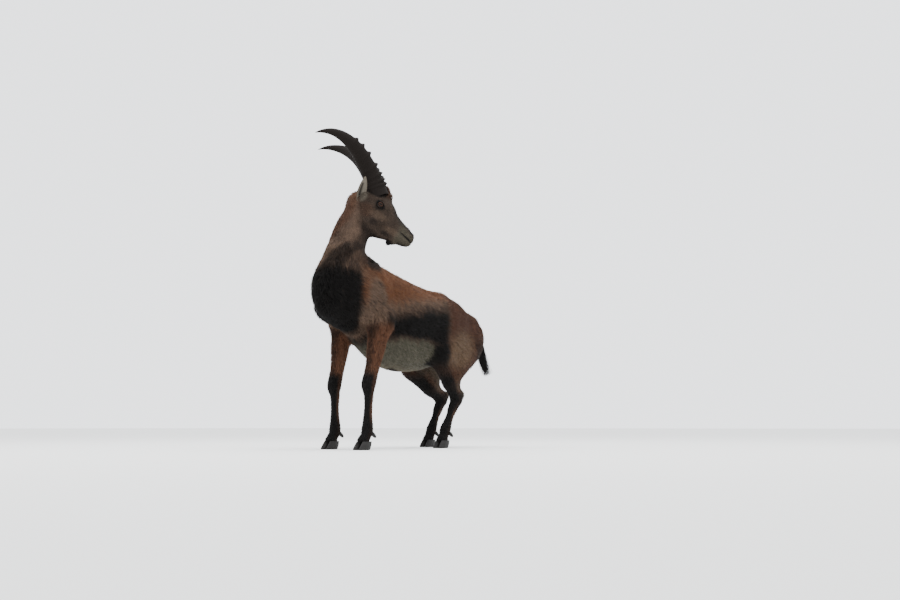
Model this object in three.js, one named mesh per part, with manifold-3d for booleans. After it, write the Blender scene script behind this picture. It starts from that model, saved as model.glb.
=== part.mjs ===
// Life-size alpine ibex buck, standing and looking back over its left shoulder.
// Millimetres. +X points to the animal's front, +Y to its left, +Z up, and the floor is z = 0.
// The flesh is one implicit body, made of tubes that follow the bones and melt into each other.
// It is meshed region by region and parted with flat cuts. Horns, ears, eyes, tail and claws are set on it.

import * as THREE from 'three';
import { mergeVertices } from 'three/addons/utils/BufferGeometryUtils.js';
import Module from 'manifold-3d';

const wasm = await Module();
wasm.setup();

const v = (x, y, z) => new THREE.Vector3(x, y, z);
const deg = THREE.MathUtils.degToRad;
const LEFT = v(0, 1, 0);
const UP = v(0, 0, 1);

// Driving dimensions

const GAP = 0.3; // between pieces that touch
const SIDES = { left: 1, right: -1 };

const HEAD_AT = v(304, 65, 982); // the joint between neck and skull
const HEAD_HEADING = deg(124); // turned this far to the left of the body
const HEAD_PITCH = deg(-30.7); // nose down
const HEAD_ROLL = deg(-3);

const EYE = { at: v(78, 46, 38), radius: 17.5, outward: v(0.3, 1, 0.05) };
const HORN = { root: v(38, 32, 80), length: 384, sunk: 0.06, radius: 34, lean: deg(143), turn: deg(87), bend: 2.3 };
const HORN_UNLIKE = { left: { length: 1.15, flare: 0.84 }, right: { length: 1, flare: 1 } };
const EAR = { root: v(-2, 48, 14), tip: v(-22, 102, 97), wide: 20, open: v(0.6, 0.75, 0.1) };

const FORELEG = { cannon: 178 }; // carpus to fetlock
const HINDLEG = { thigh: 222, shank: 236, cannon: 156 }; // hip to stifle, to hock, to fetlock
const PASTERN = { up: 78, back: 30 }; // fetlock above and behind the middle of the hoof
const CORONET = 34; // height of the hairline above the floor
const HOOF = { long: 64, wide: 23, spread: 3 }; // one claw, and how far the tips part

// Where each foot stands, where its leg is hung, and how far its cannon leans back from upright
const FEET = {
  foreleg_left: { at: v(322, 104, 0), elbow: v(222, 106, 500), lean: deg(3) },
  foreleg_right: { at: v(286, -104, 0), elbow: v(214, -106, 500), lean: deg(-1) },
  hindleg_left: { at: v(-188, 102, 0), hip: v(-312, 84, 572), lean: deg(30) },
  hindleg_right: { at: v(-352, -102, 0), hip: v(-326, -84, 572), lean: deg(27) },
};

// The head's frame turns a point of the head, x to the nose and z to the crown, into a point of the animal

const headFrame = new THREE.Matrix4()
  .makeRotationZ(HEAD_HEADING)
  .multiply(new THREE.Matrix4().makeRotationY(-HEAD_PITCH))
  .multiply(new THREE.Matrix4().makeRotationX(HEAD_ROLL))
  .setPosition(HEAD_AT);

const inHead = (x, y, z) => v(x, y, z).applyMatrix4(headFrame);
const headTurned = (direction) => direction.clone().transformDirection(headFrame);

// A tube of flesh through stations { at, wide, deep, egg, side }: half sizes across and along its section,
// and egg above 0 where the lower half of the section is the wider one.

const STEPS_PER_SPAN = 6;

class Tube {
  constructor(stations, blend, side = LEFT) {
    this.blend = blend;
    const places = new THREE.CatmullRomCurve3(stations.map((s) => s.at), false, 'catmullrom', 0.5);
    const sizes = new THREE.CatmullRomCurve3(
      stations.map((s) => v(s.wide, s.deep, s.egg ?? 0)), false, 'catmullrom', 0.5);
    const sides = stations.map((s) => s.side ?? side);
    const spans = stations.length - 1;
    const count = spans * STEPS_PER_SPAN;
    this.samples = Array.from({ length: count + 1 }, (_, i) => {
      const t = i / count;
      const span = Math.min(Math.floor(t * spans), spans - 1);
      const along = places.getTangent(t);
      const across = sides[span].clone().lerp(sides[span + 1], t * spans - span);
      across.addScaledVector(along, -across.dot(along)).normalize();
      return { at: places.getPoint(t), along, across, over: along.clone().cross(across), size: sizes.getPoint(t) };
    });
    this.bounds = new THREE.Box3().setFromPoints(this.samples.map((s) => s.at));
    this.bounds.expandByScalar(Math.max(...stations.map((s) => Math.max(s.wide, s.deep))));
  }

  // Distance to the skin of the tube, below 0 inside it
  distance(p) {
    const far = this.bounds.distanceToPoint(p);
    if (far > 3 * this.blend + 60) return far;
    let best = null;
    for (let i = 1; i < this.samples.length; i++) {
      const a = this.samples[i - 1].at;
      const b = this.samples[i].at;
      const ex = b.x - a.x, ey = b.y - a.y, ez = b.z - a.z;
      const px = p.x - a.x, py = p.y - a.y, pz = p.z - a.z;
      const t = Math.min(1, Math.max(0, (px * ex + py * ey + pz * ez) / (ex * ex + ey * ey + ez * ez)));
      const qx = px - t * ex, qy = py - t * ey, qz = pz - t * ez;
      const gap = qx * qx + qy * qy + qz * qz;
      if (!best || gap < best.gap) best = { gap, t, i, q: v(qx, qy, qz) };
    }
    const from = this.samples[best.i - 1];
    const to = this.samples[best.i];
    const mix = (a, b) => a + (b - a) * best.t;
    const dot = (key) => mix(best.q.dot(from[key]), best.q.dot(to[key]));
    const deep = mix(from.size.y, to.size.y);
    const high = dot('over');
    const egg = mix(from.size.z, to.size.z) * THREE.MathUtils.clamp(-high / deep, -1, 1);
    const wide = mix(from.size.x, to.size.x) * (1 + egg);
    const length = Math.sqrt(best.gap);
    const k = Math.hypot(dot('across') / wide, high / deep, dot('along') / Math.min(wide, deep));
    return k < 1e-3 ? -Math.min(wide, deep) : length * (1 - 1 / k);
  }
}

// Tubes melted together in order, each over its own blend length
function bodyField(tubes) {
  return (p) => {
    let d = 1e4;
    for (const tube of tubes) {
      const e = tube.distance(p);
      const h = Math.max(tube.blend - Math.abs(d - e), 0) / tube.blend;
      d = Math.min(d, e) - (h * h * tube.blend) / 4;
    }
    return d;
  };
}

// Bones of a leg

// The middle joint between two others, bent towards a direction
function jointBetween(top, low, upper, lower, towards) {
  const reach = low.clone().sub(top);
  const span = Math.min(reach.length(), (upper + lower) * 0.998);
  const along = reach.normalize();
  const near = (upper * upper - lower * lower + span * span) / (2 * span);
  const bend = towards.clone().addScaledVector(along, -towards.dot(along)).normalize();
  return top.clone().addScaledVector(along, near)
    .addScaledVector(bend, Math.sqrt(Math.max(upper * upper - near * near, 0)));
}

function bonesOf(name) {
  const { at, lean, elbow, hip } = FEET[name];
  const fetlock = at.clone().add(v(-PASTERN.back, 0, PASTERN.up));
  const cannon = elbow ? FORELEG.cannon : HINDLEG.cannon;
  const knee = fetlock.clone().add(v(-Math.sin(lean) * cannon, 0, Math.cos(lean) * cannon));
  if (elbow) return { root: elbow, knee, fetlock, foot: at };
  const stifle = jointBetween(hip, knee, HINDLEG.thigh, HINDLEG.shank, v(1, 0, 0));
  stifle.y = hip.y * 1.42;
  return { root: hip, stifle, knee, fetlock, foot: at };
}

const BONES = Object.fromEntries(Object.keys(FEET).map((name) => [name, bonesOf(name)]));

// Flesh

function trunkFlesh() {
  const station = (x, z, wide, deep, egg) => ({ at: v(x, 0, z), wide, deep, egg });
  return [
    new Tube([
      station(-450, 540, 76, 70, 0),
      station(-390, 544, 100, 94, 0),
      station(-300, 540, 116, 134, 0.02),
      station(-200, 518, 128, 164, 0.06),
      station(-100, 512, 142, 184, 0.1),
      station(0, 522, 146, 194, 0.1),
      station(100, 558, 136, 182, 0.06),
      station(190, 600, 120, 166, 0),
      station(270, 620, 112, 156, -0.04),
      station(340, 622, 102, 136, -0.06),
      station(385, 622, 84, 108, 0),
    ], 1),
    new Tube([
      station(-400, 616, 24, 18),
      station(-316, 668, 28, 20),
      station(-242, 670, 26, 20),
      station(-94, 686, 24, 20),
      station(41, 718, 24, 20),
      station(150, 734, 26, 24),
      station(246, 748, 30, 30),
      station(300, 742, 32, 32),
    ], 45),
  ];
}

function neckFlesh() {
  const turned = headTurned(LEFT);
  const sideAt = (share) => LEFT.clone().lerp(turned, share).normalize();
  const station = (x, y, z, wide, deep, share) => ({ at: v(x, y, z), wide, deep, side: sideAt(share) });
  return [
    new Tube([
      station(285, 0, 640, 98, 128, 0),
      station(338, 2, 705, 88, 118, 0.1),
      station(348, 10, 775, 74, 98, 0.36),
      station(330, 26, 840, 66, 84, 0.6),
      station(316, 46, 908, 56, 70, 0.86),
      station(302, 62, 966, 48, 52, 1),
    ], 70),
  ];
}

function headFlesh() {
  const side = headTurned(LEFT);
  const station = (x, y, z, wide, deep, egg) => ({ at: inHead(x, y, z), wide, deep, egg });
  const pair = (build) => Object.values(SIDES).flatMap(build);
  const skull = new Tube([
    station(-14, 0, 14, 44, 42),
    station(20, 0, 26, 53, 50),
    station(60, 0, 31, 57, 55, -0.05),
    station(95, 0, 22, 51, 54, -0.05),
    station(128, 0, 6, 40, 47, 0.08),
    station(162, 0, -5, 33, 42, 0.1),
    station(195, 0, -13, 29, 39, 0.08),
    station(222, 0, -17, 28, 37, 0),
    station(238, 0, -17, 25, 30, 0),
  ], 50, side);
  const jaw = new Tube([
    station(22, 0, -46, 44, 36),
    station(66, 0, -56, 40, 32),
    station(115, 0, -58, 30, 24),
    station(170, 0, -50, 22, 17),
    station(212, 0, -42, 20, 15),
    station(236, 0, -37, 18, 14),
  ], 26, side);
  const cheeks = pair((s) => [
    new Tube([station(46, 28 * s, -38, 22, 32), station(92, 26 * s, -24, 18, 24)], 30, side),
    new Tube([station(66, 42 * s, 42, 15, 24), station(92, 39 * s, 38, 14, 20)], 26, side),
    new Tube([station(12, 28 * s, 56, 26, 26), station(44, 26 * s, 68, 24, 24)], 26, side),
    new Tube([station(206, 16 * s, -30, 15, 15), station(232, 13 * s, -26, 14, 15)], 14, side),
  ]);
  const forelock = new Tube([station(56, 0, 92, 27, 29), station(76, 0, 83, 24, 22)], 24, side);
  const beard = new Tube([station(190, 0, -60, 14, 12), station(178, 0, -76, 9, 10)], 16, side);
  return [skull, jaw, ...cheeks, forelock, beard];
}

function legFlesh(name) {
  const { root, stifle, knee, fetlock, foot } = BONES[name];
  const s = Math.sign(foot.y);
  const on = (at, wide, deep) => ({ at, wide, deep });
  const at = (x, y, z) => v(x, y * s, z);
  const between = (a, b, share) => a.clone().lerp(b, share);
  const coronet = foot.clone().add(v(-10, 0, CORONET));
  const lower = [
    on(between(knee, fetlock, 0.2), 20, 23),
    on(between(knee, fetlock, 0.6), 17, 20),
    on(fetlock, 23, 27),
    on(between(fetlock, coronet, 0.5), 21, 23),
    on(coronet, 26, 30),
    on(coronet.clone().add(v(4, 0, -12)), 26, 31),
  ];
  if (!stifle) {
    return [
      new Tube([on(at(228, 44, 742), 24, 50), on(at(285, 80, 652), 32, 64), on(at(330, 92, 580), 36, 48)], 60),
      new Tube([on(at(326, 92, 574), 36, 44), on(root.clone().add(v(0, 0, 14)), 36, 46)], 40),
      new Tube([on(at(222, 84, 660), 30, 54), on(root.clone().add(v(-16, 0, 26)), 34, 40)], 50),
      new Tube([
        on(root, 38, 56),
        on(between(root, knee, 0.3), 34, 47),
        on(between(root, knee, 0.7), 26, 33),
        on(knee.clone().add(v(4, 0, 0)), 28, 32),
        ...lower,
      ], 36),
    ];
  }
  const heel = knee.clone().add(v(-32, 0, 20));
  return [
    new Tube([
      on(at(-320, 62, 580), 50, 90),
      on(between(root, stifle, 0.55).add(v(-34, 0, 10)), 52, 104),
      on(stifle, 42, 60),
    ], 60),
    new Tube([
      on(at(-432, 62, 552), 46, 68),
      on(at(-424, 82, 482), 50, 92),
      on(between(at(-424, 90, 470), between(stifle, knee, 0.5), 0.6), 42, 70),
      on(between(stifle, knee, 0.62).add(v(-8, 0, 0)), 26, 36),
    ], 40),
    new Tube([
      on(stifle, 42, 56),
      on(between(stifle, knee, 0.4), 34, 48),
      on(between(stifle, knee, 0.8), 24, 31),
      on(knee, 26, 33),
      ...lower,
    ], 40),
    new Tube([on(between(stifle, knee, 0.6).add(v(-30, 0, 0)), 10, 12), on(heel, 14, 14)], 22),
    new Tube([on(heel, 14, 13), on(between(knee, fetlock, 0.35), 13, 13)], 22),
  ];
}

const FLESH = [...trunkFlesh(), ...Object.keys(FEET).flatMap(legFlesh), ...neckFlesh(), ...headFlesh()];
const flesh = bodyField(FLESH);

// Meshing: the surface where the field is 0, as quads between the cells that it crosses, all grown outwards

function meshOf(field, low, high, cell, grow = 0) {
  const count = [0, 1, 2].map((a) => Math.ceil((high.getComponent(a) - low.getComponent(a)) / cell.getComponent(a)) + 1);
  const index = (i, j, k) => (k * count[1] + j) * count[0] + i;
  const place = (i, j, k) => v(low.x + i * cell.x, low.y + j * cell.y, low.z + k * cell.z);
  const value = new Float64Array(count[0] * count[1] * count[2]);
  for (let k = 0; k < count[2]; k++)
    for (let j = 0; j < count[1]; j++)
      for (let i = 0; i < count[0]; i++) {
        const edge = [i, j, k].some((n, a) => n === 0 || n === count[a] - 1);
        value[index(i, j, k)] = edge ? Math.max(1, field(place(i, j, k))) : field(place(i, j, k));
      }

  const points = [];
  const pointOf = new Map();
  const corners = [0, 1, 2, 3, 4, 5, 6, 7].map((n) => [n & 1, (n >> 1) & 1, n >> 2]);
  const edges = corners.flatMap((c, n) => [1, 2, 4].filter((bit) => !(n & bit)).map((bit) => [n, n | bit]));
  for (let k = 0; k < count[2] - 1; k++)
    for (let j = 0; j < count[1] - 1; j++)
      for (let i = 0; i < count[0] - 1; i++) {
        const at = corners.map(([a, b, c]) => value[index(i + a, j + b, k + c)]);
        const crossings = edges.filter(([a, b]) => at[a] < 0 !== at[b] < 0);
        if (!crossings.length) continue;
        const middle = v(0, 0, 0);
        for (const [a, b] of crossings) {
          const from = place(i + corners[a][0], j + corners[a][1], k + corners[a][2]);
          const to = place(i + corners[b][0], j + corners[b][1], k + corners[b][2]);
          middle.add(from.lerp(to, at[a] / (at[a] - at[b])));
        }
        pointOf.set(index(i, j, k), points.length);
        const settled = settle(middle.divideScalar(crossings.length), field, cell);
        points.push(grow ? settled.addScaledVector(slopeAt(settled, field).normalize(), grow) : settled);
      }

  const faces = [];
  const around = [[0, 1, 2], [1, 2, 0], [2, 0, 1]];
  for (let k = 0; k < count[2] - 1; k++)
    for (let j = 0; j < count[1] - 1; j++)
      for (let i = 0; i < count[0] - 1; i++)
        for (const [a, b, c] of around) {
          const next = [i, j, k];
          next[a] += 1;
          const inside = value[index(i, j, k)] < 0;
          if (inside === value[index(...next)] < 0) continue;
          const quad = [[0, 0], [1, 0], [1, 1], [0, 1]].map(([m, n]) => {
            const where = [i, j, k];
            where[b] -= m;
            where[c] -= n;
            return pointOf.get(index(...where));
          });
          faces.push(...trianglesOf(inside ? quad : quad.reverse(), points));
        }
  return geometryOf(points, faces);
}

function slopeAt(point, field) {
  const slope = v(0, 0, 0);
  for (const axis of ['x', 'y', 'z']) {
    const ahead = point.clone();
    const behind = point.clone();
    ahead[axis] += 1;
    behind[axis] -= 1;
    slope[axis] = (field(ahead) - field(behind)) / 2;
  }
  return slope;
}

// Two short steps down the slope bring a point onto the surface
function settle(point, field, cell) {
  const reach = Math.min(cell.x, cell.y, cell.z) * 0.5;
  const start = point.clone();
  for (let step = 0; step < 2; step++) {
    const slope = slopeAt(point, field);
    if (slope.lengthSq() < 0.05) return start;
    point.addScaledVector(slope, -field(point) / slope.lengthSq());
  }
  const moved = point.clone().sub(start);
  const length = moved.length();
  return start.addScaledVector(moved.normalize(), Math.min(length, reach));
}

function trianglesOf([a, b, c, d], points) {
  const shortFirst = points[a].distanceTo(points[c]) < points[b].distanceTo(points[d]);
  return shortFirst ? [[a, b, c], [a, c, d]] : [[a, b, d], [b, c, d]];
}

function geometryOf(points, faces) {
  const geometry = new THREE.BufferGeometry();
  geometry.setAttribute('position', new THREE.Float32BufferAttribute(points.flatMap((p) => p.toArray()), 3));
  geometry.setIndex(faces.flat());
  return geometry;
}

// Solids

function solidOf(geometry) {
  const bare = new THREE.BufferGeometry();
  bare.setAttribute('position', geometry.getAttribute('position'));
  bare.setIndex(geometry.index);
  const merged = mergeVertices(bare, 1e-4);
  const mesh = new wasm.Mesh({
    numProp: 3,
    vertProperties: merged.attributes.position.array,
    triVerts: new Uint32Array(merged.index.array),
  });
  return new wasm.Manifold(mesh);
}

const SLIVER = 0.12; // edges shorter than this are closed up after a cut

const largest = (solid) =>
  solid.decompose().reduce((a, b) => (b.volume() > a.volume() ? b : a)).simplify(SLIVER);

const CUTTER = 3000;

// Everything on the far side of a plane, or only a block of it of the given half size
function beyond(at, normal, shift = 0, half = CUTTER / 2) {
  const box = new THREE.BoxGeometry(2 * half, 2 * half, CUTTER);
  box.translate(0, 0, CUTTER / 2 + shift);
  box.applyQuaternion(new THREE.Quaternion().setFromUnitVectors(UP, normal.clone().normalize()));
  return solidOf(box.translate(at.x, at.y, at.z));
}

// Rings of points joined into a closed body. Each end has a fan over it, or where the ring is a folded
// leaf, whose second half runs back along its first, a strip between the two halves.
function loft(rings, isLeaf = false) {
  const sides = rings[0].length;
  const points = rings.flat();
  const faces = [];
  for (let r = 0; r + 1 < rings.length; r++)
    for (let i = 0; i < sides; i++) {
      const j = (i + 1) % sides;
      faces.push(...trianglesOf([r * sides + i, r * sides + j, (r + 1) * sides + j, (r + 1) * sides + i], points));
    }
  for (const [r, flip] of [[0, true], [rings.length - 1, false]]) {
    if (isLeaf) {
      for (let i = 0; i + 1 < sides / 2; i++) {
        const quad = [i, i + 1, sides - 2 - i, sides - 1 - i].map((n) => r * sides + n);
        faces.push(...trianglesOf(flip ? quad.reverse() : quad, points));
      }
      continue;
    }
    const middle = rings[r].reduce((sum, p) => sum.add(p), v(0, 0, 0)).divideScalar(sides);
    points.push(middle);
    for (let i = 0; i < sides; i++) {
      const pair = [r * sides + i, r * sides + ((i + 1) % sides)];
      faces.push([points.length - 1, ...(flip ? pair.reverse() : pair)]);
    }
  }
  const volume = faces.reduce((sum, [a, b, c]) => sum + points[a].dot(points[b].clone().cross(points[c])), 0);
  return geometryOf(points, volume < 0 ? faces.map((face) => face.reverse()) : faces);
}

// Horns

const HORN_RINGS = 44;
const HORN_SIDES = 12;
const KNOBS = { at: [0.05, 0.1, 0.167, 0.267, 0.4, 0.5, 0.583], wide: 0.02, height: 0.3 };
const HORN_FLARE = { root: deg(3), more: deg(35) };

// How far a knob stands out at a share of the horn's length, from 0 to 1
function knobAt(share) {
  return Math.max(...KNOBS.at.map((knob) => Math.exp(-(((share - knob) / KNOBS.wide) ** 2))));
}

function horn(name, s, grow = 0) {
  const unlike = HORN_UNLIKE[name];
  const rings = [];
  const length = HORN.length * unlike.length;
  const step = (length * (1 + HORN.sunk)) / HORN_RINGS;
  const place = v(HORN.root.x, HORN.root.y * s, HORN.root.z)
    .addScaledVector(v(Math.cos(HORN.lean), 0, Math.sin(HORN.lean)), -HORN.sunk * length);
  for (let r = 0; r <= HORN_RINGS; r++) {
    const share = Math.max(0, THREE.MathUtils.lerp(-HORN.sunk, 1, r / HORN_RINGS));
    const angle = HORN.lean + HORN.turn * Math.pow(share, HORN.bend);
    const flare = HORN_FLARE.root + HORN_FLARE.more * unlike.flare * Math.sin(Math.PI * Math.min(1, share * 1.15));
    const along = v(Math.cos(angle) * Math.cos(flare), Math.sin(flare) * s, Math.sin(angle) * Math.cos(flare));
    const front = v(Math.sin(angle), 0, -Math.cos(angle));
    const out = front.clone().cross(along).normalize();
    const radius = HORN.radius * Math.pow(1 - share ** 2.28, 0.95) + 0.8 + grow;
    const knob = knobAt(share);
    rings.push(Array.from({ length: HORN_SIDES }, (_, i) => {
      const turn = (i / HORN_SIDES) * 2 * Math.PI;
      const forward = Math.cos(turn);
      const blunt = 1 + 0.1 * Math.max(0, forward);
      const raise = 1 + knob * KNOBS.height * THREE.MathUtils.smoothstep(forward, 0.1, 0.75);
      return place.clone()
        .addScaledVector(front, forward * radius * raise * blunt)
        .addScaledVector(out, Math.sin(turn) * radius * 0.74 * (1 + 0.1 * knob));
    }));
    place.addScaledVector(along, step);
  }
  return loft(rings).applyMatrix4(headFrame);
}

// Ears: a leaf that is rolled into a cup, open to the side and front

const EAR_GRID = { along: 9, across: 8 };

function ear(s) {
  const root = v(EAR.root.x, EAR.root.y * s, EAR.root.z);
  const axis = v(EAR.tip.x, EAR.tip.y * s, EAR.tip.z).sub(root);
  const length = axis.length();
  axis.normalize();
  const open = v(EAR.open.x, EAR.open.y * s, EAR.open.z);
  open.addScaledVector(axis, -open.dot(axis)).normalize();
  const across = open.clone().cross(axis).normalize();
  const rings = [];
  for (let r = 0; r <= EAR_GRID.along; r++) {
    const share = r / EAR_GRID.along;
    const wide = EAR.wide * Math.pow(Math.sin(Math.PI * (0.16 + 0.82 * share)), 0.8) + 1;
    const roll = THREE.MathUtils.lerp(deg(105), deg(50), share);
    const thick = THREE.MathUtils.lerp(3.2, 1.2, share);
    const centre = root.clone().addScaledVector(axis, length * share - 8 * (1 - share));
    const row = (radius) => Array.from({ length: EAR_GRID.across }, (_, i) => {
      const turn = THREE.MathUtils.lerp(-roll, roll, i / (EAR_GRID.across - 1));
      return centre.clone()
        .addScaledVector(across, Math.sin(turn) * radius / Math.max(Math.sin(Math.min(roll, Math.PI / 2)), 0.5))
        .addScaledVector(open, (Math.cos(roll) - Math.cos(turn)) * radius * 0.8);
    });
    rings.push([...row(wide), ...row(wide - thick).reverse()]);
  }
  return loft(rings, true).applyMatrix4(headFrame);
}

// Tail: a short dock with long locks, hung from the rump

function lock(path, wide, thick, across) {
  const rings = path.map((at, n) => {
    const share = n / (path.length - 1);
    const along = path[Math.min(n + 1, path.length - 1)].clone().sub(path[Math.max(n - 1, 0)]).normalize();
    const over = along.clone().cross(across).normalize();
    const taper = Math.pow(1 - share, 0.6) * 0.94 + 0.06;
    return [
      at.clone().addScaledVector(across, wide * taper),
      at.clone().addScaledVector(over, thick * taper),
      at.clone().addScaledVector(across, -wide * taper),
      at.clone().addScaledVector(over, -thick * taper),
    ];
  });
  return loft(rings);
}

function tail() {
  return lock([
    v(-480, 0, 606), v(-535, 0, 590), v(-575, 3, 545), v(-600, 6, 490),
    v(-618, 9, 430), v(-640, 12, 380), v(-662, 14, 335),
  ], 24, 18, LEFT);
}

// Hooves: two claws that stand on flat soles, and two small dewclaws behind the fetlock

function claw(foot, s) {
  const ring = (z, back, front, near, out) => Array.from({ length: 14 }, (_, i) => {
    const turn = (i / 14) * 2 * Math.PI;
    const long = Math.cos(turn);
    const point = 1 - 0.5 * Math.pow(Math.max(0, long), 3);
    const across = Math.sin(turn) * point;
    const middle = (near + out) / 2 + HOOF.spread * Math.pow(Math.max(0, long), 2);
    return v(foot.x + (back + front) / 2 + (long * (front - back)) / 2,
      foot.y + s * (middle + (across * (out - near)) / 2), z);
  });
  const top = CORONET - GAP;
  return loft([
    ring(0, -29, HOOF.long - 30, 1.5, HOOF.wide + 1),
    ring(5, -32, HOOF.long - 29, 1, HOOF.wide + 3),
    ring(20, -37, 24, 0.8, HOOF.wide + 4),
    ring(top, -40, 13, 0.6, HOOF.wide + 2),
  ]);
}

function dewclaw(name, s) {
  const { fetlock } = BONES[name];
  const root = fetlock.clone().add(v(-12, 9 * s, -8));
  const along = v(-0.72, 0.16 * s, -0.66);
  const across = LEFT;
  const over = along.clone().cross(across).normalize();
  const rings = [[0, 8], [0.5, 8], [0.85, 6], [1, 3]].map(([share, radius]) =>
    Array.from({ length: 8 }, (_, i) => root.clone()
      .addScaledVector(along, 32 * share)
      .addScaledVector(across, Math.cos((i * Math.PI) / 4) * radius)
      .addScaledVector(over, Math.sin((i * Math.PI) / 4) * radius)));
  return loft(rings);
}

// Materials

const finish = (color, roughness) => new THREE.MeshStandardMaterial({ color, roughness, metalness: 0 });
const MATERIALS = {
  coat: finish('#6b4a33', 0.9),
  tuft: finish('#2b211c', 0.9),
  horn: finish('#3d3028', 0.6),
  hoof: finish('#1d1917', 0.5),
  eye: finish('#1a0f0a', 0.1),
};

const ibex = new THREE.Group();

function addNode(name, solid, material) {
  const mesh = solid.getMesh();
  const geometry = new THREE.BufferGeometry();
  geometry.setAttribute('position', new THREE.BufferAttribute(new Float32Array(mesh.vertProperties), 3));
  geometry.setIndex(new THREE.BufferAttribute(new Uint32Array(mesh.triVerts), 1));
  const node = new THREE.Mesh(geometry, MATERIALS[material]);
  node.name = name;
  ibex.add(node);
}

// Cuts between the regions of the flesh

const HEAD_CUT = { at: inHead(28, 0, -25), normal: headTurned(v(0.8, 0, 0.6)) };
const NECK_CUT = { at: v(380, 0, 705), normal: v(0.72, 0, 0.69) };
const FORE_CUT = { height: 464, inner: 44, back: 150 };
const HAUNCH_CUT = { height: 436, inner: 44, slope: 1.05, front: -92 };

const blockOf = (planes, shift) =>
  planes.map(([at, normal]) => beyond(at, normal, shift)).reduce((a, b) => a.intersect(b));

// The block of space that a leg's node takes out of the trunk, drawn in by a shift on each face
const legBlock = (name, shift) => {
  const s = name.endsWith('left') ? 1 : -1;
  if (name.startsWith('fore')) {
    const corner = v(FORE_CUT.back, s * FORE_CUT.inner, FORE_CUT.height);
    return blockOf([[corner, v(1, 0, 0)], [corner, v(0, s, 0)], [corner, v(0, 0, -1)]], shift);
  }
  const corner = v(HAUNCH_CUT.front, s * HAUNCH_CUT.inner, HAUNCH_CUT.height);
  return blockOf([[corner, v(-1, 0, -0.2)], [corner, v(0, s, 0)], [corner, v(0, s * HAUNCH_CUT.slope, -1)]], shift);
};

// One node of flesh, meshed in a block of space and cut by what it keeps or leaves
function fleshNode(low, high, cell, { keeps = [], leaves = [], grow = 0 }) {
  let solid = solidOf(meshOf(flesh, low, high, cell, grow));
  for (const cutter of keeps) solid = solid.intersect(cutter);
  for (const cutter of leaves) solid = solid.subtract(cutter);
  return largest(solid);
}

const ball = (at, radius, across) =>
  solidOf(new THREE.SphereGeometry(radius, across, Math.round(across * 0.7)).translate(at.x, at.y, at.z));

// Head

const headBox = new THREE.Box3().setFromPoints(
  [[-50, 0, 60], [-30, 0, -110], [275, 0, 60], [275, 0, -90], [60, 95, 0], [60, -95, 0], [60, 0, 130]]
    .map((p) => inHead(...p)));
const HEAD_CELL = v(11, 11, 11);
const eyeAt = (s) => inHead(EYE.at.x, EYE.at.y * s, EYE.at.z);

const neckBox = [v(180, -140, 600), v(490, 180, 1045), v(23, 23, 25)];
const neckGrown = solidOf(meshOf(flesh, ...neckBox, 2 * GAP));
let head = fleshNode(headBox.min, headBox.max, HEAD_CELL, { keeps: [beyond(HEAD_CUT.at, HEAD_CUT.normal, GAP / 2)] });
const headGrown = solidOf(meshOf(flesh, headBox.min, headBox.max, HEAD_CELL, 2 * GAP));
for (const s of Object.values(SIDES)) head = head.subtract(ball(eyeAt(s), EYE.radius + GAP, 16));
addNode('head', largest(head), 'coat');

for (const [name, s] of Object.entries(SIDES)) {
  addNode(`eye_${name}`, ball(eyeAt(s), EYE.radius, 16), 'eye');
  addNode(`horn_${name}`, largest(solidOf(horn(name, s)).subtract(headGrown)), 'horn');
  const hornGrown = solidOf(horn(name, s, 2 * GAP));
  addNode(`ear_${name}`, largest(solidOf(ear(s)).subtract(headGrown).subtract(neckGrown).subtract(hornGrown)), 'coat');
}

// Neck and trunk

addNode('neck', fleshNode(...neckBox, {
  keeps: [beyond(NECK_CUT.at, NECK_CUT.normal, GAP / 2)],
  leaves: [beyond(HEAD_CUT.at, HEAD_CUT.normal, -GAP / 2)],
}), 'coat');

const trunkBox = [v(-560, -190, 290), v(500, 190, 860), v(38, 27, 30)];
addNode('torso', fleshNode(...trunkBox, {
  leaves: [beyond(NECK_CUT.at, NECK_CUT.normal, -GAP / 2), ...Object.keys(FEET).map((name) => legBlock(name, -GAP / 2))],
}), 'coat');

const trunkGrown = solidOf(meshOf(flesh, ...trunkBox, 2 * GAP));
addNode('tail', largest(solidOf(tail()).subtract(trunkGrown)), 'tuft');

// Legs

for (const [name, bones] of Object.entries(BONES)) {
  const isFore = name.startsWith('fore');
  const s = Math.sign(bones.foot.y);
  const parting = bones.knee.clone().add(v(0, 0, isFore ? 0 : -14));
  const inner = s > 0 ? v(0, 0, 0) : v(0, -200, 0);
  const low = (isFore ? v(90, 0, 0) : v(-560, 0, 0)).add(inner);
  const high = (isFore ? v(400, 200, 0) : v(-60, 200, 0)).add(inner);
  const upper = { low: low.clone().setZ(parting.z - 40), high: high.clone().setZ(isFore ? 500 : 620) };
  const lower = { low: low.clone().setZ(10), high: high.clone().setZ(parting.z + 50) };
  const upperCell = isFore ? v(17, 15, 27) : v(26, 21, 28);
  addNode(`${name}_upper`, fleshNode(upper.low, upper.high, upperCell, {
    keeps: [legBlock(name, GAP / 2), beyond(parting, UP, GAP / 2)],
  }), 'coat');
  const lowerCell = v(13, 12, 19);
  addNode(`${name}_lower`, fleshNode(lower.low, lower.high, lowerCell, {
    keeps: [beyond(parting, v(0, 0, -1), GAP / 2), beyond(v(0, 0, CORONET), UP)],
  }), 'coat');
  const grown = fleshNode(lower.low, lower.high, lowerCell, { keeps: [beyond(v(0, 0, CORONET), UP)], grow: 2 * GAP });
  for (const [side, t] of [['outer', s], ['inner', -s]]) {
    addNode(`hoof_${name}_${side}`, solidOf(claw(bones.foot, t)), 'hoof');
    addNode(`dewclaw_${name}_${side}`, largest(solidOf(dewclaw(name, t)).subtract(grown)), 'hoof');
  }
}

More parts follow.
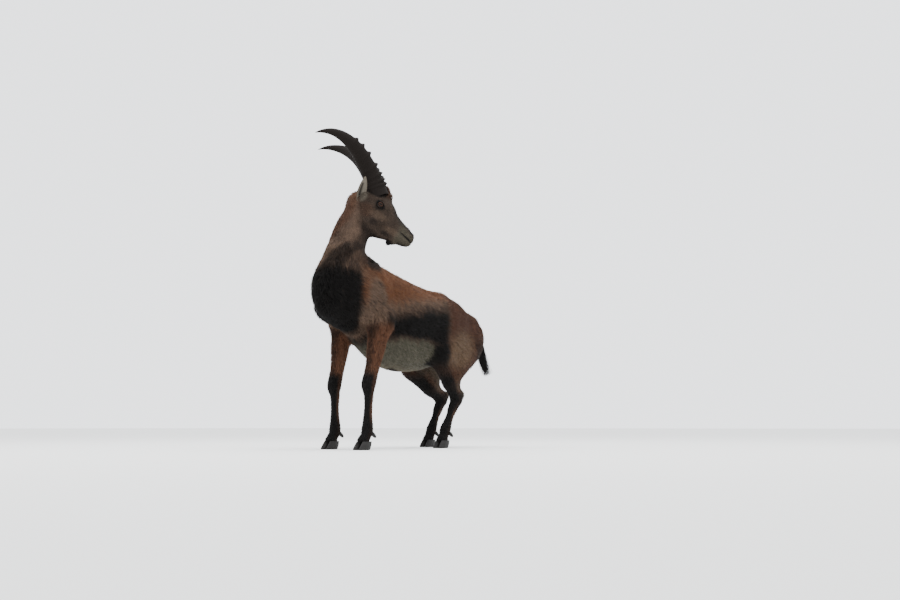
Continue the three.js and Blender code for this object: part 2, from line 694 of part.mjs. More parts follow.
// The origin of the part is on the floor, under the middle of its bounding box
const whole = new THREE.Box3().setFromObject(ibex);
const middle = whole.getCenter(v(0, 0, 0));
for (const node of ibex.children) node.geometry.translate(-middle.x, -middle.y, -whole.min.z);

export default ibex;
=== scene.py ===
"""Look of the alpine ibex: one fine skin over the body, a coat of tufts, horns, eyes, ears and hooves.

Sizes in the tables are millimetres in the body's own frame: +X to the front of the trunk, +Y to the
animal's left, +Z up from the floor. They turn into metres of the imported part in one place, Body.to_row.
"""

import logging
import math
from dataclasses import dataclass, field
from enum import Enum
from typing import Callable, Sequence

import bpy
import numpy as np
from mathutils import Matrix, Vector


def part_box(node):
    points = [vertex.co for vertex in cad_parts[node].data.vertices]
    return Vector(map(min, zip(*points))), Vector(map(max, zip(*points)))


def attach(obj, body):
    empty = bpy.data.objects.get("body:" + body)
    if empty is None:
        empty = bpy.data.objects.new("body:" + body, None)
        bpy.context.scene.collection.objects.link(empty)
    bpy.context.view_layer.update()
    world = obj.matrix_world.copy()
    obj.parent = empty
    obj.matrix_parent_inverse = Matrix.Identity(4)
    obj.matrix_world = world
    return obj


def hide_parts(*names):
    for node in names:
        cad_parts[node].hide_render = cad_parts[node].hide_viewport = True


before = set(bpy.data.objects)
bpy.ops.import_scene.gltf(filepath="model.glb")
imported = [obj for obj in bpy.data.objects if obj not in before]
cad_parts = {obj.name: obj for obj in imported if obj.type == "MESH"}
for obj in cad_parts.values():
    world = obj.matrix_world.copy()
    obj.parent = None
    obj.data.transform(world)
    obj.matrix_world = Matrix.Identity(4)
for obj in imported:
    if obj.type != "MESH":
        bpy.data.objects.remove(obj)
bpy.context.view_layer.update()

logging.basicConfig(level=logging.INFO, format="%(message)s")
log = logging.getLogger("ibex")

MM = 0.001
SEED = 7
LEFT = np.array([0.0, 1.0, 0.0])
UP = np.array([0.0, 0.0, 1.0])


class Side(Enum):
    """The two sides of the animal, as the sign of Y."""

    LEFT = 1
    RIGHT = -1


class Zone(Enum):
    """Regions of the body that have their own lie of hair and place in the unwrap."""

    TRUNK = 0
    NECK = 1
    HEAD = 2
    FORELEG_LEFT = 3
    FORELEG_RIGHT = 4
    HINDLEG_LEFT = 5
    HINDLEG_RIGHT = 6


# Small maths


def unit(a: np.ndarray) -> np.ndarray:
    """Scales vectors to length one.

    Args:
        a: Vectors in the last axis.

    Returns:
        The same directions with length one.
    """
    return a / np.maximum(np.linalg.norm(a, axis=-1, keepdims=True), 1e-9)


def smooth(x: np.ndarray, low: float, high: float) -> np.ndarray:
    """Eases from 0 at low to 1 at high, either way round.

    Args:
        x: Values.
        low: Where the result is 0.
        high: Where the result is 1.

    Returns:
        Values from 0 to 1.
    """
    t = np.clip((np.asarray(x, float) - low) / (high - low), 0.0, 1.0)
    return t * t * (3 - 2 * t)


def linear(code: str) -> np.ndarray:
    """Turns a hex colour into linear light.

    Args:
        code: Six hex digits.

    Returns:
        Red, green and blue in linear light.
    """
    c = np.array([int(code[i : i + 2], 16) / 255 for i in (0, 2, 4)])
    return np.where(c <= 0.04045, c / 12.92, ((c + 0.055) / 1.055) ** 2.4)


def waves(p: np.ndarray, scale: float, seed: int) -> np.ndarray:
    """Smooth seeded variation over space, from about -1 to 1.

    Args:
        p: Points in millimetres.
        scale: Typical size of a patch, in millimetres.
        seed: Which pattern.

    Returns:
        One value for each point.
    """
    rng = np.random.default_rng(seed)
    total = np.zeros(len(p))
    for octave in range(3):
        for _ in range(5):
            k = rng.normal(size=3) * (2.2 * 1.9**octave) / scale
            total += np.sin(p @ k + rng.uniform(0, 2 * math.pi)) * 0.6**octave
    return total / 5.5


def catmull(rows: np.ndarray, steps: int) -> np.ndarray:
    """Points of a smooth curve through rows, with a number of steps between each two.

    Args:
        rows: Values to pass through, one row each.
        steps: Steps for each span.

    Returns:
        The finer rows.
    """
    ends = np.vstack([2 * rows[0] - rows[1], rows, 2 * rows[-1] - rows[-2]])
    out = []
    for i in range(len(rows) - 1):
        a, b, c, d = ends[i : i + 4]
        m0, m1 = (c - a) / 2, (d - b) / 2
        for t in np.arange(steps) / steps:
            out.append((2 * b - 2 * c + m0 + m1) * t**3 + (3 * c - 3 * b - 2 * m0 - m1) * t**2 + m0 * t + b)
    out.append(rows[-1])
    return np.array(out)


def between(a: np.ndarray, b: np.ndarray, share: float) -> np.ndarray:
    """A point part of the way from a to b."""
    return a + (b - a) * share


def between_rows(rows: np.ndarray, first: np.ndarray, share: np.ndarray) -> np.ndarray:
    """Values part of the way from each of the first rows to the next one."""
    return rows[first] * (1 - share) + rows[first + 1] * share


def on(place: np.ndarray, wide: float, deep: float) -> tuple[float, ...]:
    """A station of a tube, from its place and its half sizes."""
    return (*place, wide, deep)


# The flesh, as tubes that melt into each other


@dataclass
class Tube:
    """A tube of flesh through stations of (x, y, z, wide, deep[, egg])."""

    stations: Sequence[Sequence[float]]
    blend: float
    sides: Sequence[np.ndarray] | None = None
    steps: int = 5

    def __post_init__(self) -> None:
        """Works out the finer centre line, its half sizes and the directions along, across and over it."""
        rows = np.array([list(s) + [0.0] * (6 - len(s)) for s in self.stations], float)
        fine = catmull(rows, self.steps)
        self.at, self.size = fine[:, :3], fine[:, 3:]
        self.along = unit(np.gradient(self.at, axis=0))
        sides = np.array(self.sides if self.sides is not None else [LEFT] * len(rows))
        across = np.vstack([
            sides[i] + (sides[i + 1] - sides[i]) * t
            for i in range(len(rows) - 1)
            for t in np.arange(self.steps) / self.steps
        ] + [sides[-1]])
        across = across - np.sum(across * self.along, -1, keepdims=True) * self.along
        self.across = unit(across)
        self.over = np.cross(self.along, self.across)
        reach = float(rows[:, 3:5].max())
        self.low, self.high = self.at.min(0) - reach, self.at.max(0) + reach

    def local(self, p: np.ndarray) -> tuple[np.ndarray, np.ndarray, np.ndarray, np.ndarray]:
        """Where points lie beside the tube.

        Args:
            p: Points in millimetres.

        Returns:
            Distance to the tube's skin, share along it, height over its side line and width beside
            it, both as shares of its half sizes.
        """
        a, e = self.at[:-1], self.at[1:] - self.at[:-1]
        square = np.sum(e * e, -1)
        outs = []
        for q in np.array_split(p, max(1, len(p) // 20000)):
            t = np.clip((q @ e.T - np.sum(a * e, -1)) / square, 0, 1)
            gap = (
                np.sum(q * q, -1)[:, None] + np.sum(a * a, -1) + t * t * square
                - 2 * (q @ a.T) - 2 * t * (q @ e.T - np.sum(a * e, -1))
            )
            best = np.argmin(gap, 1)
            s = t[np.arange(len(q)), best][:, None]
            off = q - between_rows(self.at, best, s)
            size = between_rows(self.size, best, s)
            high = np.sum(off * between_rows(self.over, best, s), -1)
            beside = np.sum(off * between_rows(self.across, best, s), -1)
            ahead = np.sum(off * between_rows(self.along, best, s), -1)
            deep = size[:, 1]
            wide = size[:, 0] * (1 + size[:, 2] * np.clip(-high / deep, -1, 1))
            k = np.sqrt((beside / wide) ** 2 + (high / deep) ** 2 + (ahead / np.minimum(wide, deep)) ** 2)
            length = np.linalg.norm(off, axis=-1)
            k = np.maximum(k, 1e-3)
            d = np.where(length < 1e-3, -np.minimum(wide, deep), length * (1 - 1 / k))
            share = (best + s[:, 0]) / len(a)
            outs.append(np.stack([d, share, high / deep, beside / wide]))
        return tuple(np.concatenate(outs, 1))

    def distance(self, p: np.ndarray) -> np.ndarray:
        """Signed distance to the tube, rough where the point is far from it.

        Args:
            p: Points in millimetres.

        Returns:
            One distance for each point.
        """
        far = np.linalg.norm(np.maximum(np.maximum(self.low - p, p - self.high), 0), axis=-1)
        near = far <= 3 * self.blend + 60
        out = far.copy()
        if near.any():
            out[near] = self.local(p[near])[0]
        return out


def melt(d: np.ndarray, e: np.ndarray, blend: float) -> np.ndarray:
    """Joins two fields with a soft fillet.

    Args:
        d: First field.
        e: Second field.
        blend: Length over which they melt.

    Returns:
        The joined field.
    """
    h = np.maximum(blend - np.abs(d - e), 0) / blend
    return np.minimum(d, e) - h * h * blend / 4


@dataclass
class Body:
    """The pose: frames of the head and the joints of each leg."""

    head_at: tuple[float, float, float] = (304, 65, 982)
    heading: float = 124
    pitch: float = -30.7
    roll: float = -3
    eye: tuple[float, float, float] = (78, 46, 38)
    eye_radius: float = 17.5
    coronet: float = 34
    origin: np.ndarray = field(default_factory=lambda: np.zeros(3))

    def __post_init__(self) -> None:
        """Works out the turn of the head, and the body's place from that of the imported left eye."""
        turn = (
            Matrix.Rotation(math.radians(self.heading), 3, "Z")
            @ Matrix.Rotation(math.radians(-self.pitch), 3, "Y")
            @ Matrix.Rotation(math.radians(self.roll), 3, "X")
        )
        self.turn = np.array(turn)
        low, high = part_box("eye_left")
        centre = (np.array(low) + np.array(high)) / 2 / MM
        self.origin = centre - self.in_head(self.eye)

    def in_head(self, p: Sequence[float] | np.ndarray) -> np.ndarray:
        """Moves points of the head, x to the nose and z to the crown, into the body.

        Args:
            p: Points in the head's frame.

        Returns:
            Points in the body's frame.
        """
        return np.asarray(p, float) @ self.turn.T + np.array(self.head_at)

    def rows_in_head(self, rows: Sequence[Sequence[float]]) -> list[tuple[float, ...]]:
        """Moves stations of the head into the body, and keeps their half sizes."""
        return [(*self.in_head(row[:3]), *row[3:]) for row in rows]

    def eye_at(self, side: int) -> np.ndarray:
        """The middle of the eyeball on one side, in the head's frame."""
        return np.array([self.eye[0], self.eye[1] * side, self.eye[2]])

    def from_head(self, p: np.ndarray) -> np.ndarray:
        """The head's own coordinates of points in the body.

        Args:
            p: Points in the body's frame.

        Returns:
            Points in the head's frame.
        """
        return (p - np.array(self.head_at)) @ self.turn

    def to_row(self, p: np.ndarray) -> np.ndarray:
        """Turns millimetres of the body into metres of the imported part.

        Args:
            p: Points in the body's frame.

        Returns:
            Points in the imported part's frame.
        """
        return (np.asarray(p, float) + self.origin) * MM


@dataclass
class Leg:
    """One leg: its joints, and the tubes of flesh round them."""

    name: str
    foot: tuple[float, float, float]
    root: tuple[float, float, float]
    lean: float
    fore: bool
    cannon: float
    thigh: float = 222
    shank: float = 236
    pastern: tuple[float, float, float] = (-30, 0, 78)
    straightest: float = 0.998
    stifle_out: float = 1.42

    def __post_init__(self) -> None:
        """Works out the joints: fetlock, knee or hock, and the stifle of a hind leg."""
        foot, root = np.array(self.foot, float), np.array(self.root, float)
        lean = math.radians(self.lean)
        self.fetlock = foot + self.pastern
        self.knee = self.fetlock + [-math.sin(lean) * self.cannon, 0, math.cos(lean) * self.cannon]
        self.stifle = None
        if not self.fore:
            reach = self.knee - root
            span = min(float(np.linalg.norm(reach)), (self.thigh + self.shank) * self.straightest)
            along = unit(reach)
            near = (self.thigh**2 - self.shank**2 + span**2) / (2 * span)
            bend = unit(np.array([1.0, 0, 0]) - along[0] * along)
            self.stifle = root + along * near + bend * math.sqrt(max(self.thigh**2 - near**2, 0))
            self.stifle[1] = root[1] * self.stifle_out

    def at(self, x: float, y: float, z: float) -> np.ndarray:
        """A point on this leg's side of the body."""
        return np.array([x, y * math.copysign(1, self.foot[1]), z], float)

    def tubes(self) -> list[Tube]:
        """The flesh of the leg.

        Returns:
            Tubes in the order in which they melt; the longest one comes last or third.
        """
        root, foot = np.array(self.root, float), np.array(self.foot, float)
        knee, fetlock, at = self.knee, self.fetlock, self.at
        coronet = foot + [-10, 0, 34]
        lower = [
            on(between(knee, fetlock, 0.2), 20, 23),
            on(between(knee, fetlock, 0.6), 17, 20),
            on(fetlock, 23, 27),
            on(between(fetlock, coronet, 0.5), 21, 23),
            on(coronet, 26, 30),
            on(coronet + [4, 0, -12], 26, 31),
        ]
        if self.fore:
            return [
                Tube([
                    on(at(228, 44, 742), 24, 50),
                    on(at(285, 80, 652), 32, 64),
                    on(at(330, 92, 580), 36, 48),
                ], 60),
                Tube([on(at(326, 92, 574), 36, 44), on(root + [0, 0, 14], 36, 46)], 40),
                Tube([on(at(222, 84, 660), 30, 54), on(root + [-16, 0, 26], 34, 40)], 50),
                Tube([
                    on(root, 38, 56),
                    on(between(root, knee, 0.3), 34, 47),
                    on(between(root, knee, 0.7), 26, 33),
                    on(knee + [4, 0, 0], 28, 32),
                    *lower,
                ], 36),
            ]
        heel = knee + [-32, 0, 20]
        stifle = self.stifle
        return [
            Tube([
                on(at(-320, 62, 580), 50, 90),
                on(between(root, stifle, 0.55) + [-34, 0, 10], 52, 104),
                on(stifle, 42, 60),
            ], 60),
            Tube([
                on(at(-432, 62, 552), 46, 68),
                on(at(-424, 82, 482), 50, 92),
                on(between(at(-424, 90, 470), between(stifle, knee, 0.5), 0.6), 42, 70),
                on(between(stifle, knee, 0.62) + [-8, 0, 0], 26, 36),
            ], 40),
            Tube([
                on(stifle, 42, 56),
                on(between(stifle, knee, 0.4), 34, 48),
                on(between(stifle, knee, 0.8), 24, 31),
                on(knee, 26, 33),
                *lower,
            ], 40),
            Tube([on(between(stifle, knee, 0.6) + [-30, 0, 0], 10, 12), on(heel, 14, 14)], 22),
            Tube([on(heel, 14, 13), on(between(knee, fetlock, 0.35), 13, 13)], 22),
        ]


@dataclass
class Flesh:
    """The whole body as one field, and its main tubes by zone."""

    body: Body
    legs: list[Leg]
    face_depth: float = 2.0
    foot_depth: float = 2.2
    trunk_more: float = 5.3
    chest_more: float = 2.5

    def __post_init__(self) -> None:
        """Sets up the tubes of trunk, neck, head and legs in the order in which they melt."""
        turned = self.body.turn @ LEFT
        head = self.body.rows_in_head
        self.trunk = Tube([
            (-450, 0, 540, 76, 70), (-390, 0, 544, 100, 94), (-300, 0, 540, 116, 134, 0.02),
            (-200, 0, 518, 128, 164, 0.06), (-100, 0, 512, 142, 184, 0.1), (0, 0, 522, 146, 194, 0.1),
            (100, 0, 558, 136, 182, 0.06), (190, 0, 600, 120, 166), (270, 0, 620, 112, 156, -0.04),
            (340, 0, 622, 102, 136, -0.06), (385, 0, 622, 84, 108),
        ], 1)
        ridge = Tube([
            (-400, 0, 616, 24, 18), (-316, 0, 668, 28, 20), (-242, 0, 670, 26, 20), (-94, 0, 686, 24, 20),
            (41, 0, 718, 24, 20), (150, 0, 734, 26, 24), (246, 0, 748, 30, 30), (300, 0, 742, 32, 32),
        ], 45)
        shares = [0, 0.1, 0.36, 0.6, 0.86, 1]
        self.neck = Tube([
            (285, 0, 640, 98, 128), (338, 2, 705, 88, 118), (348, 10, 775, 74, 98),
            (330, 26, 840, 66, 84), (316, 46, 908, 56, 70), (302, 62, 966, 48, 52),
        ], 70, [unit(LEFT + (turned - LEFT) * t) for t in shares])
        self.skull = Tube(head([
            (-14, 0, 14, 44, 42), (20, 0, 26, 53, 50), (60, 0, 31, 57, 55, -0.05), (95, 0, 22, 51, 54, -0.05),
            (128, 0, 6, 40, 47, 0.08), (162, 0, -5, 33, 42, 0.1), (195, 0, -13, 29, 39, 0.08),
            (222, 0, -17, 28, 37), (238, 0, -17, 25, 30),
        ]), 50, [turned] * 9)
        jaw = Tube(head([
            (22, 0, -46, 44, 36), (66, 0, -56, 40, 32), (115, 0, -58, 30, 24),
            (170, 0, -50, 22, 17), (212, 0, -42, 20, 15), (236, 0, -37, 18, 14),
        ]), 26, [turned] * 6)
        cheeks = []
        for s in (1, -1):
            for rows, blend in (
                ([(46, 28 * s, -38, 22, 32), (92, 26 * s, -24, 18, 24)], 30),
                ([(66, 42 * s, 42, 15, 24), (92, 39 * s, 38, 14, 20)], 26),
                ([(12, 28 * s, 56, 26, 26), (44, 26 * s, 68, 24, 24)], 26),
                ([(206, 16 * s, -30, 15, 15), (232, 13 * s, -26, 14, 15)], 14),
            ):
                cheeks.append(Tube(head(rows), blend, [turned] * 2))
        forelock = Tube(head([(56, 0, 92, 27, 29), (76, 0, 83, 24, 22)]), 24, [turned] * 2)
        beard = Tube(head([(190, 0, -60, 14, 12), (178, 0, -76, 9, 10)]), 16, [turned] * 2)
        legs = [leg.tubes() for leg in self.legs]
        self.limbs = [tubes[3] if leg.fore else tubes[2] for leg, tubes in zip(self.legs, legs)]
        self.tubes = [
            self.trunk, ridge, *[t for tubes in legs for t in tubes], self.neck, self.skull, jaw, *cheeks,
            forelock, beard,
        ]
        self.zones = [self.trunk, self.neck, self.skull, *self.limbs]
        self.grooves, self.folds = self.face()

    def face(self) -> tuple[list[tuple[Tube, float]], list[Tube]]:
        """Cuts and folds of the face: nostrils, the line of the mouth, sockets and lids.

        Returns:
            Tubes that are cut away with their blends, and tubes that are added.
        """
        body = self.body
        turned = body.turn @ LEFT
        head = body.rows_in_head
        grooves, folds = [], []
        for s in (1, -1):
            mouth = [
                (262, 0, -27), (253, 13 * s, -28), (236, 25 * s, -25), (214, 31 * s, -20), (192, 33 * s, -13),
            ]
            sizes = [(2.6, 3.2), (2.6, 3.2), (2.6, 3.0), (2.6, 2.6), (1.8, 1.8)]
            grooves.append((Tube(head([(*m, *w) for m, w in zip(mouth, sizes)]), 3, [turned] * 5), 3))
            nostril = [(258, 8 * s, 0, 2.6, 4), (249, 15 * s, 6, 4.2, 5.5), (238, 21 * s, 12, 3, 4)]
            grooves.append((Tube(head(nostril), 4, [turned] * 3), 4))
            for high in (1, -1):
                rows = []
                for t in np.linspace(-1, 1, 7):
                    a = math.radians(56 * t + 4)
                    b = math.radians((36 if high > 0 else -31) * (1 - t * t) ** 0.8 - 7 * t)
                    way = np.array([
                        math.cos(b) * (math.sin(a) + 0.3 * math.cos(a)),
                        math.cos(b) * (math.cos(a) - 0.3 * math.sin(a)) * s, math.sin(b) + 0.05,
                    ])
                    spot = body.eye_at(s) + unit(way) * (body.eye_radius + 1.4)
                    thick = (3.6 if high > 0 else 3.0) * (1 - 0.3 * t * t)
                    rows.append((*spot, thick, thick))
                folds.append(Tube(head(rows), 3, [turned] * 7))
        return grooves, folds

    def depth(self, p: np.ndarray) -> np.ndarray:
        """How deep the skin lies under the tips of the coat.

        Args:
            p: Points in millimetres.

        Returns:
            Depth in millimetres.
        """
        near_head = np.linalg.norm(p - self.body.in_head([110, 0, -10]), axis=-1)
        depth = self.foot_depth + self.trunk_more * smooth(p[:, 2], 230, 480)
        depth += self.chest_more * smooth(np.linalg.norm(p - np.array([380, 0, 640]), axis=-1), 260, 90)
        return self.face_depth + (depth - self.face_depth) * smooth(near_head, 130, 250)

    def value(self, p: np.ndarray, fine: bool = False) -> np.ndarray:
        """The field of the skin: below 0 inside it.

        Args:
            p: Points in millimetres.
            fine: Whether the cuts and folds of the face are in it.

        Returns:
            One value for each point.
        """
        d = np.full(len(p), 1e4)
        for tube in self.tubes:
            d = melt(d, tube.distance(p), tube.blend)
        d = d + self.depth(p)
        if fine:
            for tube in self.folds:
                d = melt(d, tube.distance(p), tube.blend)
            for tube, blend in self.grooves:
                d = -melt(-d, tube.distance(p), blend)
            for s in (1, -1):
                eye = self.body.in_head(self.body.eye_at(s))
                ball = np.linalg.norm(p - eye, axis=-1) - self.body.eye_radius - 0.25
                d = np.maximum(d, -ball)
        return d


LEGS = [
    Leg("foreleg_left", (322, 104, 0), (222, 106, 500), 3, True, 178),
    Leg("foreleg_right", (286, -104, 0), (214, -106, 500), -1, True, 178),
    Leg("hindleg_left", (-188, 102, 0), (-312, 84, 572), 30, False, 156),
    Leg("hindleg_right", (-352, -102, 0), (-326, -84, 572), 27, False, 156),
]


# Meshing


@dataclass
class Surface:
    """Points and faces of a mesh in millimetres."""

    points: np.ndarray
    quads: np.ndarray


def surface(
    value: Callable[[np.ndarray], np.ndarray], low: np.ndarray, high: np.ndarray, cell: float
) -> Surface:
    """The surface where a field is 0, with one point in each cell that it crosses.

    Args:
        value: The field.
        low: Lowest corner of the block of space.
        high: Highest corner.
        cell: Size of a cell.

    Returns:
        The surface, its faces turned outwards.
    """
    n = np.ceil((high - low) / cell).astype(int) + 1
    axes = [low[a] + np.arange(n[a]) * cell for a in range(3)]
    grid = np.stack(np.meshgrid(*axes, indexing="ij"), -1).reshape(-1, 3)
    values = value(grid).reshape(n)
    cells = n - 1
    total, count = np.zeros((cells.prod(), 3)), np.zeros(cells.prod())
    quads = []
    for a in range(3):
        b, c = (a + 1) % 3, (a + 2) % 3
        first = [slice(None)] * 3
        second = [slice(None)] * 3
        first[a], second[a] = slice(0, -1), slice(1, None)
        va, vb = values[tuple(first)], values[tuple(second)]
        where = np.argwhere((va < 0) != (vb < 0))
        inner = (where[:, b] > 0) & (where[:, b] < cells[b]) & (where[:, c] > 0) & (where[:, c] < cells[c])
        where = where[inner]
        x, y = va[tuple(where.T)], vb[tuple(where.T)]
        point = low + where * cell
        point[:, a] += x / (x - y) * cell
        corners = []
        for m, k in ((0, 0), (1, 0), (1, 1), (0, 1)):
            spot = where.copy()
            spot[:, b] -= m
            spot[:, c] -= k
            flat = np.ravel_multi_index(tuple(spot.T), cells)
            corners.append(flat)
            np.add.at(total, flat, point)
            np.add.at(count, flat, 1)
        quad = np.stack(corners, 1)
        quad[x >= 0] = quad[x >= 0][:, ::-1]
        quads.append(quad)
    used = np.flatnonzero(count)
    index = np.full(len(count), -1)
    index[used] = np.arange(len(used))
    return Surface(total[used] / count[used][:, None], index[np.concatenate(quads)])


def mesh_object(name: str, points: np.ndarray, faces: Sequence[Sequence[int]]) -> bpy.types.Object:
    """Makes an object from points in metres and faces.

    Args:
        name: The object's name.
        points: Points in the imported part's frame.
        faces: Corner numbers of each face.

    Returns:
        The new object, linked to the scene.
    """
    mesh = bpy.data.meshes.new(name)
    faces = np.asarray(faces)
    sides = faces.shape[1]
    mesh.vertices.add(len(points))
    mesh.vertices.foreach_set("co", np.asarray(points, np.float32).ravel())
    mesh.loops.add(faces.size)
    mesh.loops.foreach_set("vertex_index", faces.astype(np.int32).ravel())
    mesh.polygons.add(len(faces))
    mesh.polygons.foreach_set("loop_start", np.arange(0, faces.size, sides, dtype=np.int32))
    mesh.polygons.foreach_set("loop_total", np.full(len(faces), sides, np.int32))
    mesh.update(calc_edges=True)
    mesh.polygons.foreach_set("use_smooth", np.full(len(faces), True))
    thing = bpy.data.objects.new(name, mesh)
    bpy.context.scene.collection.objects.link(thing)
    return thing


def paint(thing: bpy.types.Object, colours: np.ndarray) -> None:
    """Stores a colour for each point of a mesh, for the coat's finish to read.

    Args:
        thing: The object.
        colours: One linear colour for each point.
    """
    layer = thing.data.color_attributes.new("Coat", "FLOAT_COLOR", "POINT")
    rgba = np.ones((len(colours), 4), np.float32)
    rgba[:, :3] = colours
    layer.data.foreach_set("color", rgba.ravel())


def unwrap(thing: bpy.types.Object, corners: np.ndarray) -> None:
    """Stores the unwrap of a mesh.

    Args:
        thing: The object.
        corners: One pair of numbers for each corner of each face.
    """
    layer = thing.data.uv_layers.new(name="OFBake")
    layer.data.foreach_set("uv", np.asarray(corners, np.float32).ravel())


# Markings and lie of the coat


@dataclass(frozen=True)
class Palette:
    """Colours of the coat."""

    chestnut: str = "5c3c28"
    rump: str = "422b20"
    grey_brown: str = "57463a"
    sand: str = "5a4838"
    black: str = "0b0908"
    dark: str = "1b1512"
    belly: str = "4d4a3f"
    cream: str = "766b59"
    rust: str = "412b1f"
    face: str = "382e27"
    bridge: str = "2a2420"
    cheek: str = "56473b"
    lips: str = "443f35"
    pale: str = "5e574d"
    streak: str = "40352d"
    neck: str = "4a3b31"
    leg: str = "573a2a"


@dataclass
class Places:
    """What is known of a set of points on the skin."""

    point: np.ndarray
    normal: np.ndarray
    flesh: Flesh

    def __post_init__(self) -> None:
        """Finds the points' places beside each zone's main tube, and in the head."""
        found = [tube.local(self.point) for tube in self.flesh.zones]
        self.away = np.stack([f[0] for f in found])
        self.share = np.stack([f[1] for f in found])
        self.high = np.stack([f[2] for f in found])
        self.beside = np.stack([f[3] for f in found])
        self.weight = np.exp(-np.maximum(self.away + 8, 0) / 16.0)
        self.weight /= np.maximum(self.weight.sum(0), 1e-9)
        self.zone = np.argmin(self.away, 0)
        self.head = self.flesh.body.from_head(self.point)

    def near(self, x: float, y: float, z: float, low: float, high: float) -> np.ndarray:
        """Eases from 0 at the distance low from a point of the head to 1 at the distance high."""
        return smooth(np.linalg.norm(self.head - [x, y, z], axis=-1), low, high)

    def oval(self, x: float, z: float, wide: float, tall: float) -> np.ndarray:
        """An oval on both sides of the head: 1 in its middle and 0 outside it."""
        return smooth(np.hypot((self.head[:, 0] - x) / wide, (self.head[:, 2] - z) / tall), 1.25, 0.5)

    def uv(self, rows: np.ndarray, zones: np.ndarray) -> np.ndarray:
        """The unwrap: each zone is opened along its under side and laid in its own field.

        Args:
            rows: Which points.
            zones: The zone to use for each.

        Returns:
            One pair of numbers for each point.
        """
        pick = (zones, rows)
        turn = np.arctan2(self.beside[pick], self.high[pick]) / (2 * math.pi) + 0.5
        u = (zones % 4 + 0.04 + 0.92 * turn) / 4
        v = (zones // 4 + 0.03 + 0.94 * self.share[pick]) / 2
        return np.stack([u, v], 1)


